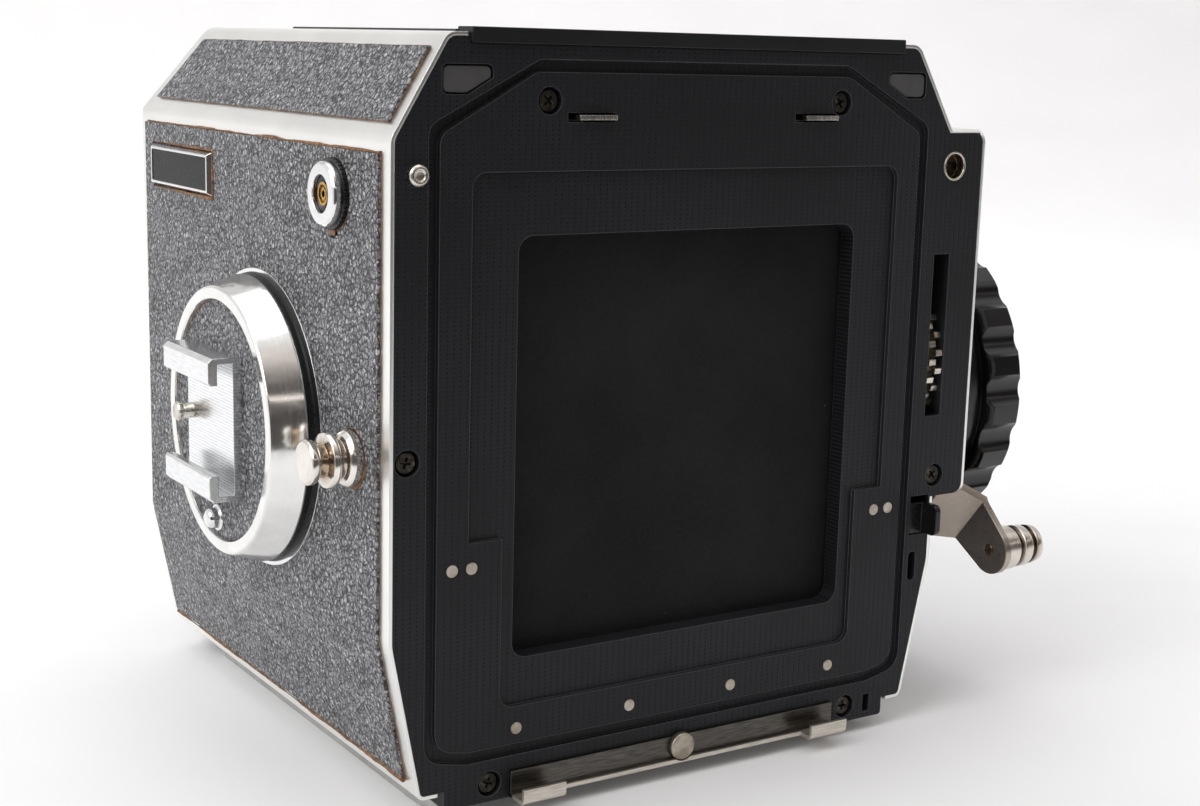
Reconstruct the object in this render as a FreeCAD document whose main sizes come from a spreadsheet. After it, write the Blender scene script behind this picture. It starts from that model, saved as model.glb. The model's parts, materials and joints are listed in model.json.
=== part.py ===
import FreeCAD, Part
import Sketcher
import math
import os
import re

# A medium format single-lens reflex camera body, shown without its lens, finder and film back.
# X runs to the right seen from behind, Y towards the lens, Z up, in millimetres.
# The origin is the mouth of the tripod socket, on the plane that the body stands on.

V = FreeCAD.Vector
doc = FreeCAD.newDocument("camera_body")

# Driving sizes: name, value, meaning. A value in quotes follows another size.
SIZE_ROWS = [
    # The outline of the body, seen from behind, and its side view
    ("half_width", 46.5, "outer face of the side shells from the middle"),
    ("rear_y", -45, "rear face of the rear plate"),
    ("front_y", 44.8, "front face of the front plate"),
    ("top_half", "=half_width - 7.8", "half width of the flat top"),
    ("top_z", 104.2, "height of the flat top"),
    ("shoulder_z", "=top_z - 13.1", "height where the sides turn into the top slopes"),
    ("taper_z", 26, "height where the sides start to taper"),
    ("foot_half", "=half_width - 4.4", "half width at the lower end of the taper"),
    ("foot_z", 4.3, "height where the sides step in to the foot"),
    ("base_half", "=half_width - 7.7", "half width of the foot and the flat underside"),
    ("base_z", 1.6, "height of the flat underside"),
    ("slope_y", 35.5, "front edge of the flat top"),
    ("edge_r", 2.2, "rounding at the edge of the flat top"),
    ("shoulder_r", 2.5, "rounding at the shoulders"),
    ("taper_r", 8, "rounding at the start of the taper"),
    ("foot_r", 1.2, "rounding at the lower end of the taper"),
    ("base_r", 1.0, "rounding at the underside"),
    # Walls
    ("shell_t", 0.5, "thickness of the side shells and the top cover"),
    ("rail_t", 0.3, "how far the two finder rails stand over the top"),
    ("rail_front_y", 9, "front end of the finder rails"),
    ("front_t", 3.0, "thickness of the front plate"),
    ("plate_t", 3.5, "thickness of the rear plate"),
    ("leather_t", 0.45, "thickness of the covering"),
    ("trim_half", "=half_width - 10.6", "inner edge of the shells on the top"),
    ("seam", 0.05, "gap left where two plain pieces lie side by side"),
    ("run_gap", 0.05, "radial gap of shafts and sliding pins"),
    # Chassis
    ("optical_z", 50, "height of the lens axis"),
    ("box_half", 31, "half width inside the mirror box"),
    ("box_wall", 2.5, "side walls of the mirror box"),
    ("box_floor_z", 19, "floor of the mirror box"),
    ("box_roof_z", "=top_z - 14.2", "roof of the mirror box"),
    ("chamber_half", 33, "half width of the shutter chamber"),
    ("chamber_depth", 5, "depth of the shutter chamber"),
    ("chamber_floor_z", 8.5, "floor of the shutter chamber"),
    ("chamber_roof_z", "=top_z - 12.8", "roof of the shutter chamber"),
    ("baffle_t", 1, "wall between the shutter and the mirror box"),
    ("baffle_half", 29, "half width of the light path in that wall"),
    ("baffle_low_z", 20.5, "lower edge of the light path"),
    ("baffle_high_z", 79.5, "upper edge of the light path"),
    ("side_front_y", 37.4, "front end of the side compartments"),
    ("side_low_z", 12, "floor of the side compartments"),
    ("side_high_z", "=top_z - 16.2", "roof of the side compartments"),
    ("belly_roof_z", 16.5, "roof of the space over the base plate"),
    ("belly_half", 32, "half width of the space over the base plate"),
    ("belly_rear_y", -34, "rear end of the space over the base plate"),
    ("belly_front_y", 36, "front end of the space over the base plate"),
    # Focusing screen
    ("screen_half", 29, "half width of the screen"),
    ("screen_rear_y", -31.5, "rear edge of the screen"),
    ("screen_front_y", 27.5, "front edge of the screen"),
    ("screen_ledge", 2, "ledge under the screen"),
    ("screen_z", "=top_z - 12.2", "underside of the screen"),
    ("screen_t", 2.2, "thickness of the screen"),
    ("screen_frame_t", 1.6, "thickness of the frame on the screen"),
    ("screen_frame_w", 2.2, "width of the frame on the screen"),
    # Rear plate
    ("gate_x", 0.4, "middle of the film gate"),
    ("gate_w", 56.3, "width of the film gate"),
    ("gate_h", 57, "height of the film gate"),
    ("gate_r", 2.2, "corners of the film gate"),
    ("tab_x", "=half_width + 5.9", "outer edge of the tab on the right"),
    ("tab_low_z", 36, "lower edge of the tab"),
    ("tab_high_z", 91.5, "upper edge of the tab"),
    ("tab_r", 1.6, "corners of the tab"),
    ("groove_half", "=half_width - 5.2", "outer line of the light groove"),
    ("groove_top_z", "=top_z - 3.2", "top of the light groove"),
    ("groove_top_half", "=half_width - 21.1", "half length of the groove's top run"),
    ("groove_shoulder_z", "=top_z - 11.6", "shoulder of the light groove"),
    ("groove_low_z", 8.05, "lower line of the light groove"),
    ("groove_corner_z", 9.4, "height of the lower corners of the light groove"),
    ("groove_bend_x", "=half_width - 11.6", "half length of the groove's lower run"),
    ("groove_w", 1.6, "width of the light groove"),
    ("groove_depth", 0.8, "depth of the light groove"),
    ("groove_r", 3, "lower corners of the light groove"),
    ("recess_half", 35.4, "half width of the recess, wide part"),
    ("recess_top_z", 86.8, "top of the recess"),
    ("recess_step_z", 38.6, "height of the step in the recess"),
    ("recess_low_half", 30.3, "half width of the recess, lower part"),
    ("recess_low_z", 15, "bottom of the recess"),
    ("recess_depth", 0.7, "depth of the recess"),
    ("recess_r", 2, "corners of the recess"),
    ("window_x", "=half_width - 2.6", "left edge of the gear window"),
    ("window_w", 3.1, "width of the gear window"),
    ("window_low_z", 48.7, "lower edge of the gear window"),
    ("window_high_z", 73.5, "upper edge of the gear window"),
    ("pad_x", "=half_width - 13.6", "inner edge of the corner inserts from the gate's middle"),
    ("pad_outer_x", "=half_width - 6.8", "outer edge of the corner inserts from the gate's middle"),
    ("pad_top_z", "=top_z - 4.15", "upper edge of the corner inserts"),
    ("pad_mid_z", "=top_z - 5.6", "inner corner of the inserts"),
    ("pad_low_z", "=top_z - 7.5", "lower edge of the corner inserts"),
    ("pad_r", 0.8, "corners of the inserts"),
    ("pad_depth", 1.0, "depth of the pockets of the inserts"),
    ("pad_sunk", 0.2, "how far the inserts lie under the face"),
    ("bar_z", "=top_z - 1.4", "lower edge of the top bar"),
    ("bar_top_z", "=top_z + 0.65", "upper edge of the top bar"),
    ("bar_half", "=half_width - 10.9", "half length of the top bar"),
    ("bar_proud", 0.5, "how far the top bar stands out"),
    # Small parts of the rear plate
    ("screw_r", 1.38, "head of the black cross-head screws"),
    ("screw_play", 0.4, "width of the ring round the screw heads"),
    ("screw_sunk", 0.5, "how far the heads lie under the face"),
    ("screw_head_t", 1.2, "height of the screw heads"),
    ("screw_shank_r", 0.9, "shank of the screws"),
    ("screw_cross", 1.5, "length of the cross slots"),
    ("screw_slot", 0.34, "width of the cross slots"),
    ("rivet_r", 0.84, "rivets of the gate"),
    ("rivet_proud", 0.15, "how far the rivets stand out"),
    ("rivet_low_z", 11.85, "height of the lower row of rivets"),
    ("rivet_side_z", 35.2, "height of the side rivets"),
    ("blade_z", "=top_z - 10.5", "height of the hook blades"),
    ("blade_t", 0.65, "thickness of the hook blades"),
    ("blade_w", 5.8, "width of the hook blades"),
    ("blade_left_x", -19.8, "left edge of the left blade"),
    ("blade_right_x", 17.6, "left edge of the right blade"),
    ("blade_proud", 0.8, "how far the blades stand out"),
    ("blade_travel", 1.2, "travel of the blades to the left"),
    ("blade_slot", 1.2, "height of the slots of the blades"),
    ("pin_x", "=3.5 - half_width", "interlock pin"),
    ("pin_z", 86.6, "height of the interlock pin and the locating ring"),
    ("pin_r", 1.4, "radius of the interlock pin"),
    ("pin_proud", 1.2, "how far the interlock pin stands out"),
    ("pin_length", 8.6, "length of the interlock pin"),
    ("ring_x", "=half_width + 0.4", "locating ring"),
    ("ring_r", 2.2, "outside of the locating ring"),
    ("ring_hole_r", 1.8, "inside of the locating ring"),
    ("ring_floor", 1.6, "depth of the locating ring's floor"),
    ("catch_x", "=half_width - 4.3", "left edge of the back catch"),
    ("catch_w", 3.4, "width of the back catch"),
    ("catch_low_z", 30.4, "lower edge of the back catch"),
    ("catch_high_z", 35.2, "upper edge of the back catch"),
    ("catch_t", 1.0, "sheet thickness of the back catch"),
    ("catch_reach", 3.1, "how far the finger of the back catch stands out"),
    ("catch_travel", 1.0, "travel of the back catch"),
    ("slot_x", "=half_width - 3.5", "interlock slot"),
    ("slot_z", 25.3, "middle of the interlock slot"),
    ("slot_w", 1.5, "width of the interlock slot"),
    ("slot_length", 4.6, "length of the interlock slot"),
    ("notch_x", 35.2, "small notch low on the right"),
    ("notch_z", 4.45, "middle of the small notch"),
    ("notch_w", 1.3, "width of the small notch"),
    ("notch_length", 2.8, "height of the small notch"),
    ("latch_left_x", -28.3, "left end of the lower bar"),
    ("latch_right_x", 27.9, "right end of the lower bar"),
    ("latch_top_z", 6.0, "upper edge of the lower bar"),
    ("latch_low_z", 2.2, "lower edge of the lower bar"),
    ("latch_t", 0.6, "sheet thickness of the lower bar"),
    ("latch_hook_w", 6.7, "width of the two hooks"),
    ("latch_hook_y", -49.2, "rear face of the two hooks"),
    ("latch_hook_z", 4.5, "upper edge of the two hooks"),
    ("latch_lip", 1.5, "width of the lip between the hooks"),
    ("latch_rivet_r", 2.0, "head of the rivet of the lower bar"),
    ("latch_rivet_z", 4.5, "height of the rivet of the lower bar"),
    ("latch_rivet_t", 1.0, "head thickness of that rivet"),
    ("latch_seat", 0.1, "depth of the spot face under that rivet"),
    # Shutter
    ("roller_r", 1.95, "outside of the cloth on the rollers"),
    ("roller_core_r", 1.2, "roller cores"),
    ("journal_r", 0.7, "journals of the rollers"),
    ("roller_y", -38.65, "roller axes"),
    ("roller_low_z", 11.2, "lower roller"),
    ("roller_high_z", "=top_z - 15.8", "upper roller"),
    ("roller_half", 29.6, "half length of the cloth"),
    ("curtain_t", 0.25, "thickness of the cloth"),
    ("curtain_gap", 0.1, "gap between the stretched cloth and the rollers"),
    # Mirror
    ("mirror_y", -33.0, "hinge of the mirror"),
    ("mirror_z", 83.6, "height of the hinge of the mirror"),
    ("mirror_half", 28, "half width of the mirror"),
    ("mirror_length", 70, "length of the mirror carrier"),
    ("mirror_t", 1.5, "thickness of the mirror glass"),
    ("carrier_t", 1.2, "thickness of the mirror carrier"),
    ("hinge_r", 1.2, "radius of the mirror shaft"),
    # Base plate
    ("foot_plate_half", "=half_width - 8.5", "half width of the base plate"),
    ("foot_plate_front_y", 35.5, "front edge of the base plate"),
    ("foot_plate_rear_y", -41, "rear edge of the base plate"),
    ("socket_r", 4.76, "tripod thread, half of the 3/8 inch diameter"),
    ("socket_length", 7, "length of the tripod thread"),
    ("socket_body_r", 8, "outside of the tripod bush"),
    # Left side: battery compartment with the accessory shoe
    ("cap_y", -3.9, "axis of the battery cap"),
    ("axis_z", 49.05, "height of the axes of the battery cap and the crank"),
    ("rim_r", 21.5, "outside of the thin bright rim"),
    ("rim_t", 0.15, "thickness of the thin bright rim"),
    ("ring_out_r", 20.9, "outside of the black base ring"),
    ("ring_in_r", 19.0, "inside of the black base ring"),
    ("ring_t", 1.8, "height of the black base ring"),
    ("cap_foot_r", 20.7, "radius of the battery cap at its foot"),
    ("cap_head_r", 19.3, "radius of the battery cap at its face"),
    ("cap_top", 6.85, "height of the cap's face over the shell"),
    ("cap_gap", 0.08, "gap under the battery cap"),
    ("cap_lip_r", 17.3, "inside of the bright face ring"),
    ("cap_floor", 5.7, "height of the cap's sunk floor"),
    ("cap_floor_t", 1.2, "thickness of the cap's floor"),
    ("cap_wall", 1.6, "wall of the battery cap"),
    ("disc_t", 0.4, "thickness of the covering in the cap"),
    ("shoe_front_y", 6.0, "front end of the shoe"),
    ("shoe_rear_y", -11.6, "rear end of the shoe"),
    ("shoe_z", 49.2, "middle of the shoe"),
    ("shoe_inner_w", 18.65, "width of a standard accessory foot with its play"),
    ("shoe_web", 0.85, "side walls of the shoe"),
    ("shoe_base_t", 1.75, "thickness of the shoe's base"),
    ("shoe_slot", 2.25, "height of the slot for the accessory foot"),
    ("shoe_lip_t", 1.35, "thickness of the shoe's lips"),
    ("shoe_chamfer", 0.6, "chamfer along the outer edges of the lips"),
    ("shoe_opening", 12.7, "gap between the shoe's lips"),
    ("stop_y", 4.3, "stop pin of the shoe"),
    ("stop_r", 1.15, "radius of the stop pin"),
    ("stop_head_r", 1.4, "head of the stop pin"),
    ("stop_reach", 2.6, "height of the stop pin"),
    ("button_y", -2.2, "battery check button"),
    ("button_z", 34.4, "height of the battery check button"),
    ("button_r", 1.5, "radius of the check button"),
    ("button_reach", 2.5, "how far the check button stands out"),
    ("collar_r", 2.0, "collar of the check button"),
    ("battery_r", 6.5, "radius of the battery"),
    ("battery_length", 25.2, "length of the battery"),
    ("battery_x", "=4.9 - half_width", "axis of the battery"),
    ("holder_wall", 1.3, "wall of the battery holder"),
    ("holder_gap", 0.3, "play of the battery in its holder"),
    # Left side: sync terminal, badge and strap studs
    ("sync_y", -29.5, "sync terminal"),
    ("sync_z", 83.2, "height of the sync terminal"),
    ("sync_r", 4.25, "radius of the bright collar"),
    ("sync_base_r", 4.7, "radius of the knurled base ring"),
    ("sync_base_t", 1.15, "height of the knurled base ring"),
    ("sync_collar_t", 1.3, "height of the bright collar"),
    ("sync_hole_r", 2.5, "hole of the bright collar"),
    ("sync_core_r", 2.4, "insulator of the terminal"),
    ("sync_contact_r", 1.55, "outer contact ring"),
    ("badge_rear_y", 13.2, "rear end of the bare badge plate"),
    ("badge_front_y", 38.7, "front end of the bare badge plate"),
    ("badge_low_z", 79.1, "lower edge of the badge plate"),
    ("badge_high_z", 86.1, "upper edge of the badge plate"),
    ("badge_t", 1.2, "thickness of the badge plate"),
    ("badge_bevel", 0.7, "bevel of the badge plate"),
    ("stud_y", -35.0, "left strap stud"),
    ("stud_z", 49.3, "height of the left strap stud"),
    ("right_stud_y", 30, "right strap stud"),
    ("right_stud_z", 60, "height of the right strap stud"),
    # Covering panels
    ("panel_rear_y", -42.3, "rear edge of the side panels"),
    ("panel_front_y", 42.5, "front edge of the side panels"),
    ("panel_top_z", "=top_z - 15.1", "upper edge of the side panels"),
    ("panel_low_z", 6.9, "lower edge of the side panels"),
    ("slope_panel_low_z", "=top_z - 11.1", "lower edge of the slope panels"),
    ("slope_panel_high_z", "=top_z - 1.9", "upper edge of the slope panels"),
    ("slope_panel_margin", 3.4, "front margin of the slope panels"),
    # Right side: gear housing, dial and crank
    ("dial_y", -14.5, "axis of the dial and the crank"),
    ("housing_x", "=half_width + 6.4", "outer face of the gear housing"),
    ("housing_low_z", 35.5, "lower edge of the gear housing"),
    ("housing_high_z", 92, "upper edge of the gear housing"),
    ("housing_front_y", 14, "front end of the gear housing"),
    ("housing_r", 2, "corners of the gear housing"),
    ("boss_r", 23.4, "round boss under the dial"),
    ("dial_r", 25.6, "radius over the lobes of the dial"),
    ("dial_x", "=half_width + 23.3", "outer face of the dial"),
    ("dial_rim", 7, "width of the lobed rim"),
    ("dial_notch", 1.3, "depth of the scallops between the lobes"),
    ("scallop_r", 3.2, "radius of the scallops"),
    ("dial_lobes", 20, "number of lobes"),
    ("dial_phase", 6.6, "angle of the first lobe over the rear direction"),
    ("skirt_r", 23.3, "smooth skirt of the dial"),
    ("skirt_x", "=half_width + 8.4", "inner end of the skirt"),
    ("dial_wall", 1.8, "wall of the dial"),
    ("spindle_r", 2.6, "spindle of the dial"),
    ("sleeve_r", 4.6, "outside of the winding sleeve"),
    ("crank_x", "=half_width + 6.7", "inner face of the crank disc"),
    ("crank_t", 1.2, "sheet thickness of the crank"),
    ("crank_disc_r", 20, "radius of the crank disc"),
    ("crank_lift_x", "=half_width + 13.4", "inner face of the lifted end of the crank"),
    ("crank_angle", 38.1, "angle of the crank under the rear direction"),
    ("crank_start", 28.4, "distance of the inner bend from the axis"),
    ("crank_fold", 32.0, "distance of the outer bend from the axis"),
    ("crank_length", 38.1, "distance of the grip from the axis"),
    ("crank_root_half", 6.6, "half width of the crank at the inner bend"),
    ("crank_fold_half", 4.65, "half width of the crank at the outer bend"),
    ("crank_end_r", 3.9, "rounded end of the crank"),
    ("grip_r", 3.5, "radius of the grip"),
    ("grip_length", 8.2, "length of the grip"),
    ("grip_pin_r", 0.95, "pin of the grip"),
    ("gear_module", 0.85, "module of the two gears"),
    ("film_teeth", 29, "teeth of the film transport gear"),
    ("wind_teeth", 16, "teeth of the winding gear"),
    ("mesh_angle", 155.4, "direction from the winding gear to the film transport gear"),
    ("gear_x", "=half_width - 2.2", "inner face of the gears"),
    ("gear_w", 1.3, "width of one gear rim"),
    ("film_shaft_r", 1.5, "shaft of the film transport gear"),
    ("bridge_x", "=half_width - 4.9", "inner face of the gear bridge"),
    ("bridge_t", 1.6, "thickness of the gear bridge"),
    # Lens mount
    ("throat_r", 31.2, "guide of the lens mount"),
    ("mount_hole_r", 28.5, "hole of the lens mount"),
    ("mount_length", 17, "length of the lens mount"),
    ("mount_rear_y", 42, "rear end of the lens mount at infinity"),
    ("guide_wall", 1.3, "wall of the focusing guide"),
    ("flange_r", 36, "radius of the mount flange"),
    ("flange_t", 3, "thickness of the mount flange"),
    ("focus_r", 36, "outside of the focusing ring"),
    ("focus_w", 9.4, "width of the focusing ring"),
    ("focus_gap", 0.3, "gap beside the focusing ring"),
    ("focus_ribs", 36, "grip grooves of the focusing ring"),
    ("front_panel_margin", 4, "margin of the front covering"),
    ("release_x", 33, "shutter release on the front"),
    ("release_z", 14, "height of the shutter release"),
    ("release_r", 3, "radius of the shutter release"),
    ("release_proud", 3.4, "how far the release stands out"),
    ("release_depth", 6.5, "depth of the release behind the front plate"),
    ("release_travel", 2.2, "travel of the release"),
]

sheet = doc.addObject("Spreadsheet::Sheet", "Sizes")
for row, (alias, value, meaning) in enumerate(SIZE_ROWS, start=1):
    sheet.set(f"A{row}", meaning)
    sheet.set(f"B{row}", str(value))
    sheet.setAlias(f"B{row}", alias)
doc.recompute()
NAMES = {alias for alias, value, meaning in SIZE_ROWS}


def size(alias):
    """The value of one driving size, for loops and angles."""
    return float(sheet.get(alias))


def link(text):
    """Turns a formula in plain size names into one that reads the sheet."""
    return re.sub(r"[a-z]\w*", lambda w: f"Sizes.{w[0]}" if w[0] in NAMES else w[0], str(text))


def drive(thing, **formulas):
    for name, text in formulas.items():
        thing.setExpression(name, link(text))


TURNS = {
    "X": FreeCAD.Rotation(V(0, 0, 1), V(1, 0, 0)),
    "-X": FreeCAD.Rotation(V(0, 0, 1), V(-1, 0, 0)),
    "Y": FreeCAD.Rotation(V(0, 0, 1), V(0, 1, 0)),
    "-Y": FreeCAD.Rotation(V(0, 0, 1), V(0, -1, 0)),
    "Z": FreeCAD.Rotation(),
}
# How a sketch drawn in a plane is turned, and the direction that it is thickened in.
PLANES = {
    "XY": (FreeCAD.Rotation(), V(0, 0, 1), "z"),
    "XZ": (FreeCAD.Rotation(V(1, 0, 0), 90), V(0, 1, 0), "y"),
    "YZ": (FreeCAD.Rotation(V(1, 1, 1), 120), V(1, 0, 0), "x"),
}


def place(thing, x, y, z, turn=None):
    """Sets a placement whose three coordinates follow the sheet."""
    thing.Placement = FreeCAD.Placement(V(0, 0, 0), turn or FreeCAD.Rotation())
    for axis, text in (("x", x), ("y", y), ("z", z)):
        thing.setExpression(f"Placement.Base.{axis}", link(text))


def box(name, x, y, z):
    """A block given by its (low, high) formulas on the three axes."""
    block = doc.addObject("Part::Box", name)
    place(block, x[0], y[0], z[0])
    spans = [f"({high}) - ({low})" for low, high in (x, y, z)]
    drive(block, Length=spans[0], Width=spans[1], Height=spans[2])
    return block


def cylinder(name, axis, at, radius, length):
    rod = doc.addObject("Part::Cylinder", name)
    place(rod, *at, TURNS[axis])
    drive(rod, Radius=radius, Height=length)
    return rod


def fuse(name, *pieces):
    union = doc.addObject("Part::MultiFuse", name)
    union.Shapes = list(pieces)
    union.Refine = True
    return union


def cut(name, base, *tools):
    tool = tools[0] if len(tools) == 1 else fuse(name + "_tools", *tools)
    result = doc.addObject("Part::Cut", name)
    result.Base = base
    result.Tool = tool
    return result


def common(name, *pieces):
    shared = doc.addObject("Part::MultiCommon", name)
    shared.Shapes = list(pieces)
    return shared


def group(name, pieces):
    """Equal pieces that stay separate solids in one node."""
    batch = doc.addObject("Part::Compound", name)
    batch.Links = list(pieces)
    return batch


def pin_point(sketch, curve, end, x, y, seed):
    """Holds one point of a sketch at two formulas."""
    for kind, text, value in (("DistanceX", x, seed.x), ("DistanceY", y, seed.y)):
        number = sketch.addConstraint(Sketcher.Constraint(kind, -1, 1, curve, end, value))
        sketch.setExpression(f"Constraints[{number}]", link(text))


def corner_arc(before, corner, after, radius):
    """The ends of the arc that rounds a corner, and the arc itself, drawn anticlockwise."""
    back = (before - corner).normalize()
    ahead = (after - corner).normalize()
    half = back.getAngle(ahead) / 2
    reach = radius / math.tan(half)
    start = corner + back * reach
    end = corner + ahead * reach
    centre = corner + (back + ahead).normalize() * (radius / math.sin(half))
    first, last = (start, end) if (start - centre).cross(end - centre).z > 0 else (end, start)
    angles = [math.atan2(p.y - centre.y, p.x - centre.x) for p in (first, last)]
    return start, end, Part.ArcOfCircle(Part.Circle(centre, V(0, 0, 1), radius), *angles)


def outline(sketch, points):
    """A closed outline through points (x, y) or (x, y, rounding size)."""
    count = len(points)
    first = sketch.GeometryCount
    seeds = [V(math.cos(-math.tau * i / count), math.sin(-math.tau * i / count),
        0) * 10 for i in range(count)]
    rounded = any(len(point) == 3 for point in points)
    for i in range(count):
        sketch.addGeometry(Part.LineSegment(seeds[i], seeds[(i + 1) % count]), rounded)
    for i in range(count):
        sketch.addConstraint(Sketcher.Constraint("Coincident", first + i, 2, first + (i + 1) % count, 1))
        pin_point(sketch, first + i, 1, points[i][0], points[i][1], seeds[i])
    sketch.recompute()
    if not rounded:
        return
    corners = [sketch.Geometry[first + i].StartPoint for i in range(count)]
    ends = []
    arcs = {}
    for i, point in enumerate(points):
        if len(point) < 3:
            ends.append((corners[i], corners[i]))
            continue
        start, end, arc = corner_arc(corners[i - 1], corners[i], corners[(i + 1) % count], size(point[2]))
        arcs[i] = sketch.addGeometry(arc, False)
        ends.append((start, end))
    for i in range(count):
        after = (i + 1) % count
        side = sketch.addGeometry(Part.LineSegment(ends[i][1], ends[after][0]), False)
        for corner, end in ((i, 1), (after, 2)):
            if corner not in arcs:
                sketch.addConstraint(Sketcher.Constraint("Coincident", side, end, first + corner, 1))
                continue
            sketch.addConstraint(Sketcher.Constraint("PointOnObject", side, end, first + i))
            here = ends[corner][1] if corner == i else ends[corner][0]
            arc_end = 1 if (sketch.getPoint(arcs[corner], 1) - here).Length < 1e-6 else 2
            sketch.addConstraint(Sketcher.Constraint("Tangent", side, end, arcs[corner], arc_end))
    for i, arc in arcs.items():
        number = sketch.addConstraint(Sketcher.Constraint("Radius", arc, size(points[i][2])))
        sketch.setExpression(f"Constraints[{number}]", link(points[i][2]))
    sketch.recompute()


def circle(sketch, x, y, radius):
    ring = sketch.addGeometry(Part.Circle(V(1, 1, 0), V(0, 0, 1), 3), False)
    pin_point(sketch, ring, 3, x, y, V(1, 1, 0))
    number = sketch.addConstraint(Sketcher.Constraint("Radius", ring, 3))
    sketch.setExpression(f"Constraints[{number}]", link(radius))


def prism(name, plane, points, low, high):
    """An outline in a plane, thickened from low to high across it."""
    turn, across, axis = PLANES[plane]
    sketch = doc.addObject("Sketcher::SketchObject", name + "_outline")
    sketch.Placement = FreeCAD.Placement(V(0, 0, 0), turn)
    outline(sketch, points)
    sketch.setExpression(f"Placement.Base.{axis}", link(low))
    return thicken(name, sketch, across, f"({high}) - ({low})")


def thicken(name, profile, across, length):
    solid = doc.addObject("Part::Extrusion", name)
    solid.Base = profile
    solid.DirMode = "Custom"
    solid.Dir = across
    solid.Solid = True
    drive(solid, LengthFwd=length)
    return solid


class Body:
    """A PartDesign body with the few features that these pieces need."""

    def __init__(self, name):
        self.name = name
        self.body = doc.addObject("PartDesign::Body", name)

    def sketch(self, part, plane, level="0"):
        sketch = self.body.newObject("Sketcher::SketchObject", f"{self.name}_{part}_sketch")
        base = [f for f in self.body.Origin.OriginFeatures if f.Role == f"{plane}_Plane"][0]
        sketch.AttachmentSupport = [(base, "")]
        sketch.MapMode = "FlatFace"
        sign = "-" if plane == "XZ" else ""
        sketch.setExpression("AttachmentOffset.Base.z", link(f"{sign}({level})"))
        return sketch

    def feature(self, kind, part, sketch, backwards=False, **formulas):
        made = self.body.newObject(f"PartDesign::{kind}", f"{self.name}_{part}")
        made.Profile = sketch
        made.Reversed = backwards
        drive(made, **formulas)
        sketch.Visibility = False
        return made

    def pad(self, part, sketch, length, backwards=False):
        return self.feature("Pad", part, sketch, backwards, Length=length)

    def pocket(self, part, sketch, length, backwards=False):
        return self.feature("Pocket", part, sketch, backwards, Length=length)

    def revolve(self, part, sketch):
        made = self.feature("Revolution", part, sketch)
        made.ReferenceAxis = (sketch, ["V_Axis"])
        made.Angle = 360
        return made

    def around(self, part, feature, count):
        pattern = self.body.newObject("PartDesign::PolarPattern", f"{self.name}_{part}")
        pattern.Originals = [feature]
        axis = [f for f in self.body.Origin.OriginFeatures if f.Role == "Z_Axis"][0]
        pattern.Axis = (axis, [""])
        pattern.Angle = 360
        drive(pattern, Occurrences=count)
        self.body.Tip = pattern
        return pattern

    def stand(self, axis, at):
        """Turns the body's own Z to an axis of the camera and sets it there."""
        place(self.body, *at, TURNS[axis])
        return self.body


def turned(name, axis, at, profile):
    """A piece turned on a lathe: profile points are (radius, height)."""
    piece = Body(name)
    sketch = piece.sketch("profile", "XZ")
    outline(sketch, profile)
    piece.revolve("turning", sketch)
    return piece.stand(axis, at)


NODES = {}


def node(name, piece):
    """Marks the object that stands for one named sub-part."""
    piece.Label = name
    NODES[name] = piece
    return piece


# The body's outline, its inner lines and its side view
def body_corners():
    left = [
        ("-top_half", "top_z", "edge_r"),
        ("-half_width", "shoulder_z", "shoulder_r"),
        ("-half_width", "taper_z", "taper_r"),
        ("-foot_half", "foot_z", "foot_r"),
        ("-base_half", "foot_z"),
        ("-base_half", "base_z", "base_r"),
    ]
    right = [(point[0][1:], *point[1:]) for point in reversed(left)]
    return left + right


body_outline = doc.addObject("Sketcher::SketchObject", "body_outline")
body_outline.Placement = FreeCAD.Placement(V(0, 0, 0), PLANES["XZ"][0])
outline(body_outline, body_corners())
body_outline.setExpression("Placement.Base.y", link("rear_y"))


def body_prism(name, inset):
    """The body's outline, moved inwards, along its whole depth."""
    line = doc.addObject("Part::Offset2D", name + "_line")
    line.Source = body_outline
    line.Join = "Intersection"
    drive(line, Value=f"-({inset})")
    return thicken(name, line, V(0, 1, 0), "front_y - rear_y + 2")


def side_view(name, back):
    """The body's side view, with its leaning front, moved back by a size."""
    points = [
        ("rear_y - 5", "base_z - 5"),
        ("rear_y - 5", "top_z + 5"),
        (f"slope_y - ({back}) - 5 * (front_y - slope_y) / (top_z - shoulder_z)", "top_z + 5"),
        (f"front_y - ({back})", "shoulder_z"),
        (f"front_y - ({back})", "base_z - 5"),
    ]
    return prism(name, "YZ", points, "-half_width - 15", "half_width + 15")


outer_prism = thicken("outer_prism", body_outline, V(0, 1, 0), "front_y - rear_y + 2")
inner_prism = body_prism("inner_prism", "shell_t")
cover_prism = body_prism("cover_prism", "-leather_t")
front_view = side_view("front_view", "0")
core_view = side_view("core_view", "front_t")

# Side shells, with holes for what passes through them
shell_blank = cut("shell_blank", common("shell_outer", outer_prism, core_view), inner_prism)


def side_box(name, side, trim, low_z="base_z - 1"):
    """The half of the body that lies outside a distance from the middle, on one side."""
    span = ("-half_width - 9", f"-({trim})") if side < 0 else (trim, "half_width + 9")
    return box(name, span, ("rear_y - 1", "front_y + 2"), (low_z, "top_z + 2"))


# The shells end where the sides step in to the foot
foot_trim = box("foot_trim", ("-base_half - 0.4", "base_half + 0.4"), ("rear_y - 1", "front_y + 2"),
                ("0", "foot_z + 3"))
left_blank = common("left_shell_blank", shell_blank, side_box("left_shell_half", -1, "trim_half"))
node("left_shell", cut(
    "left_shell_cut", left_blank, foot_trim,
    cylinder("cap_opening", "X", ("-half_width - 1", "cap_y", "axis_z"), "ring_in_r", "3"),
    cylinder("sync_opening", "X", ("-half_width - 1", "sync_y", "sync_z"), "sync_core_r", "3")))

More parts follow.
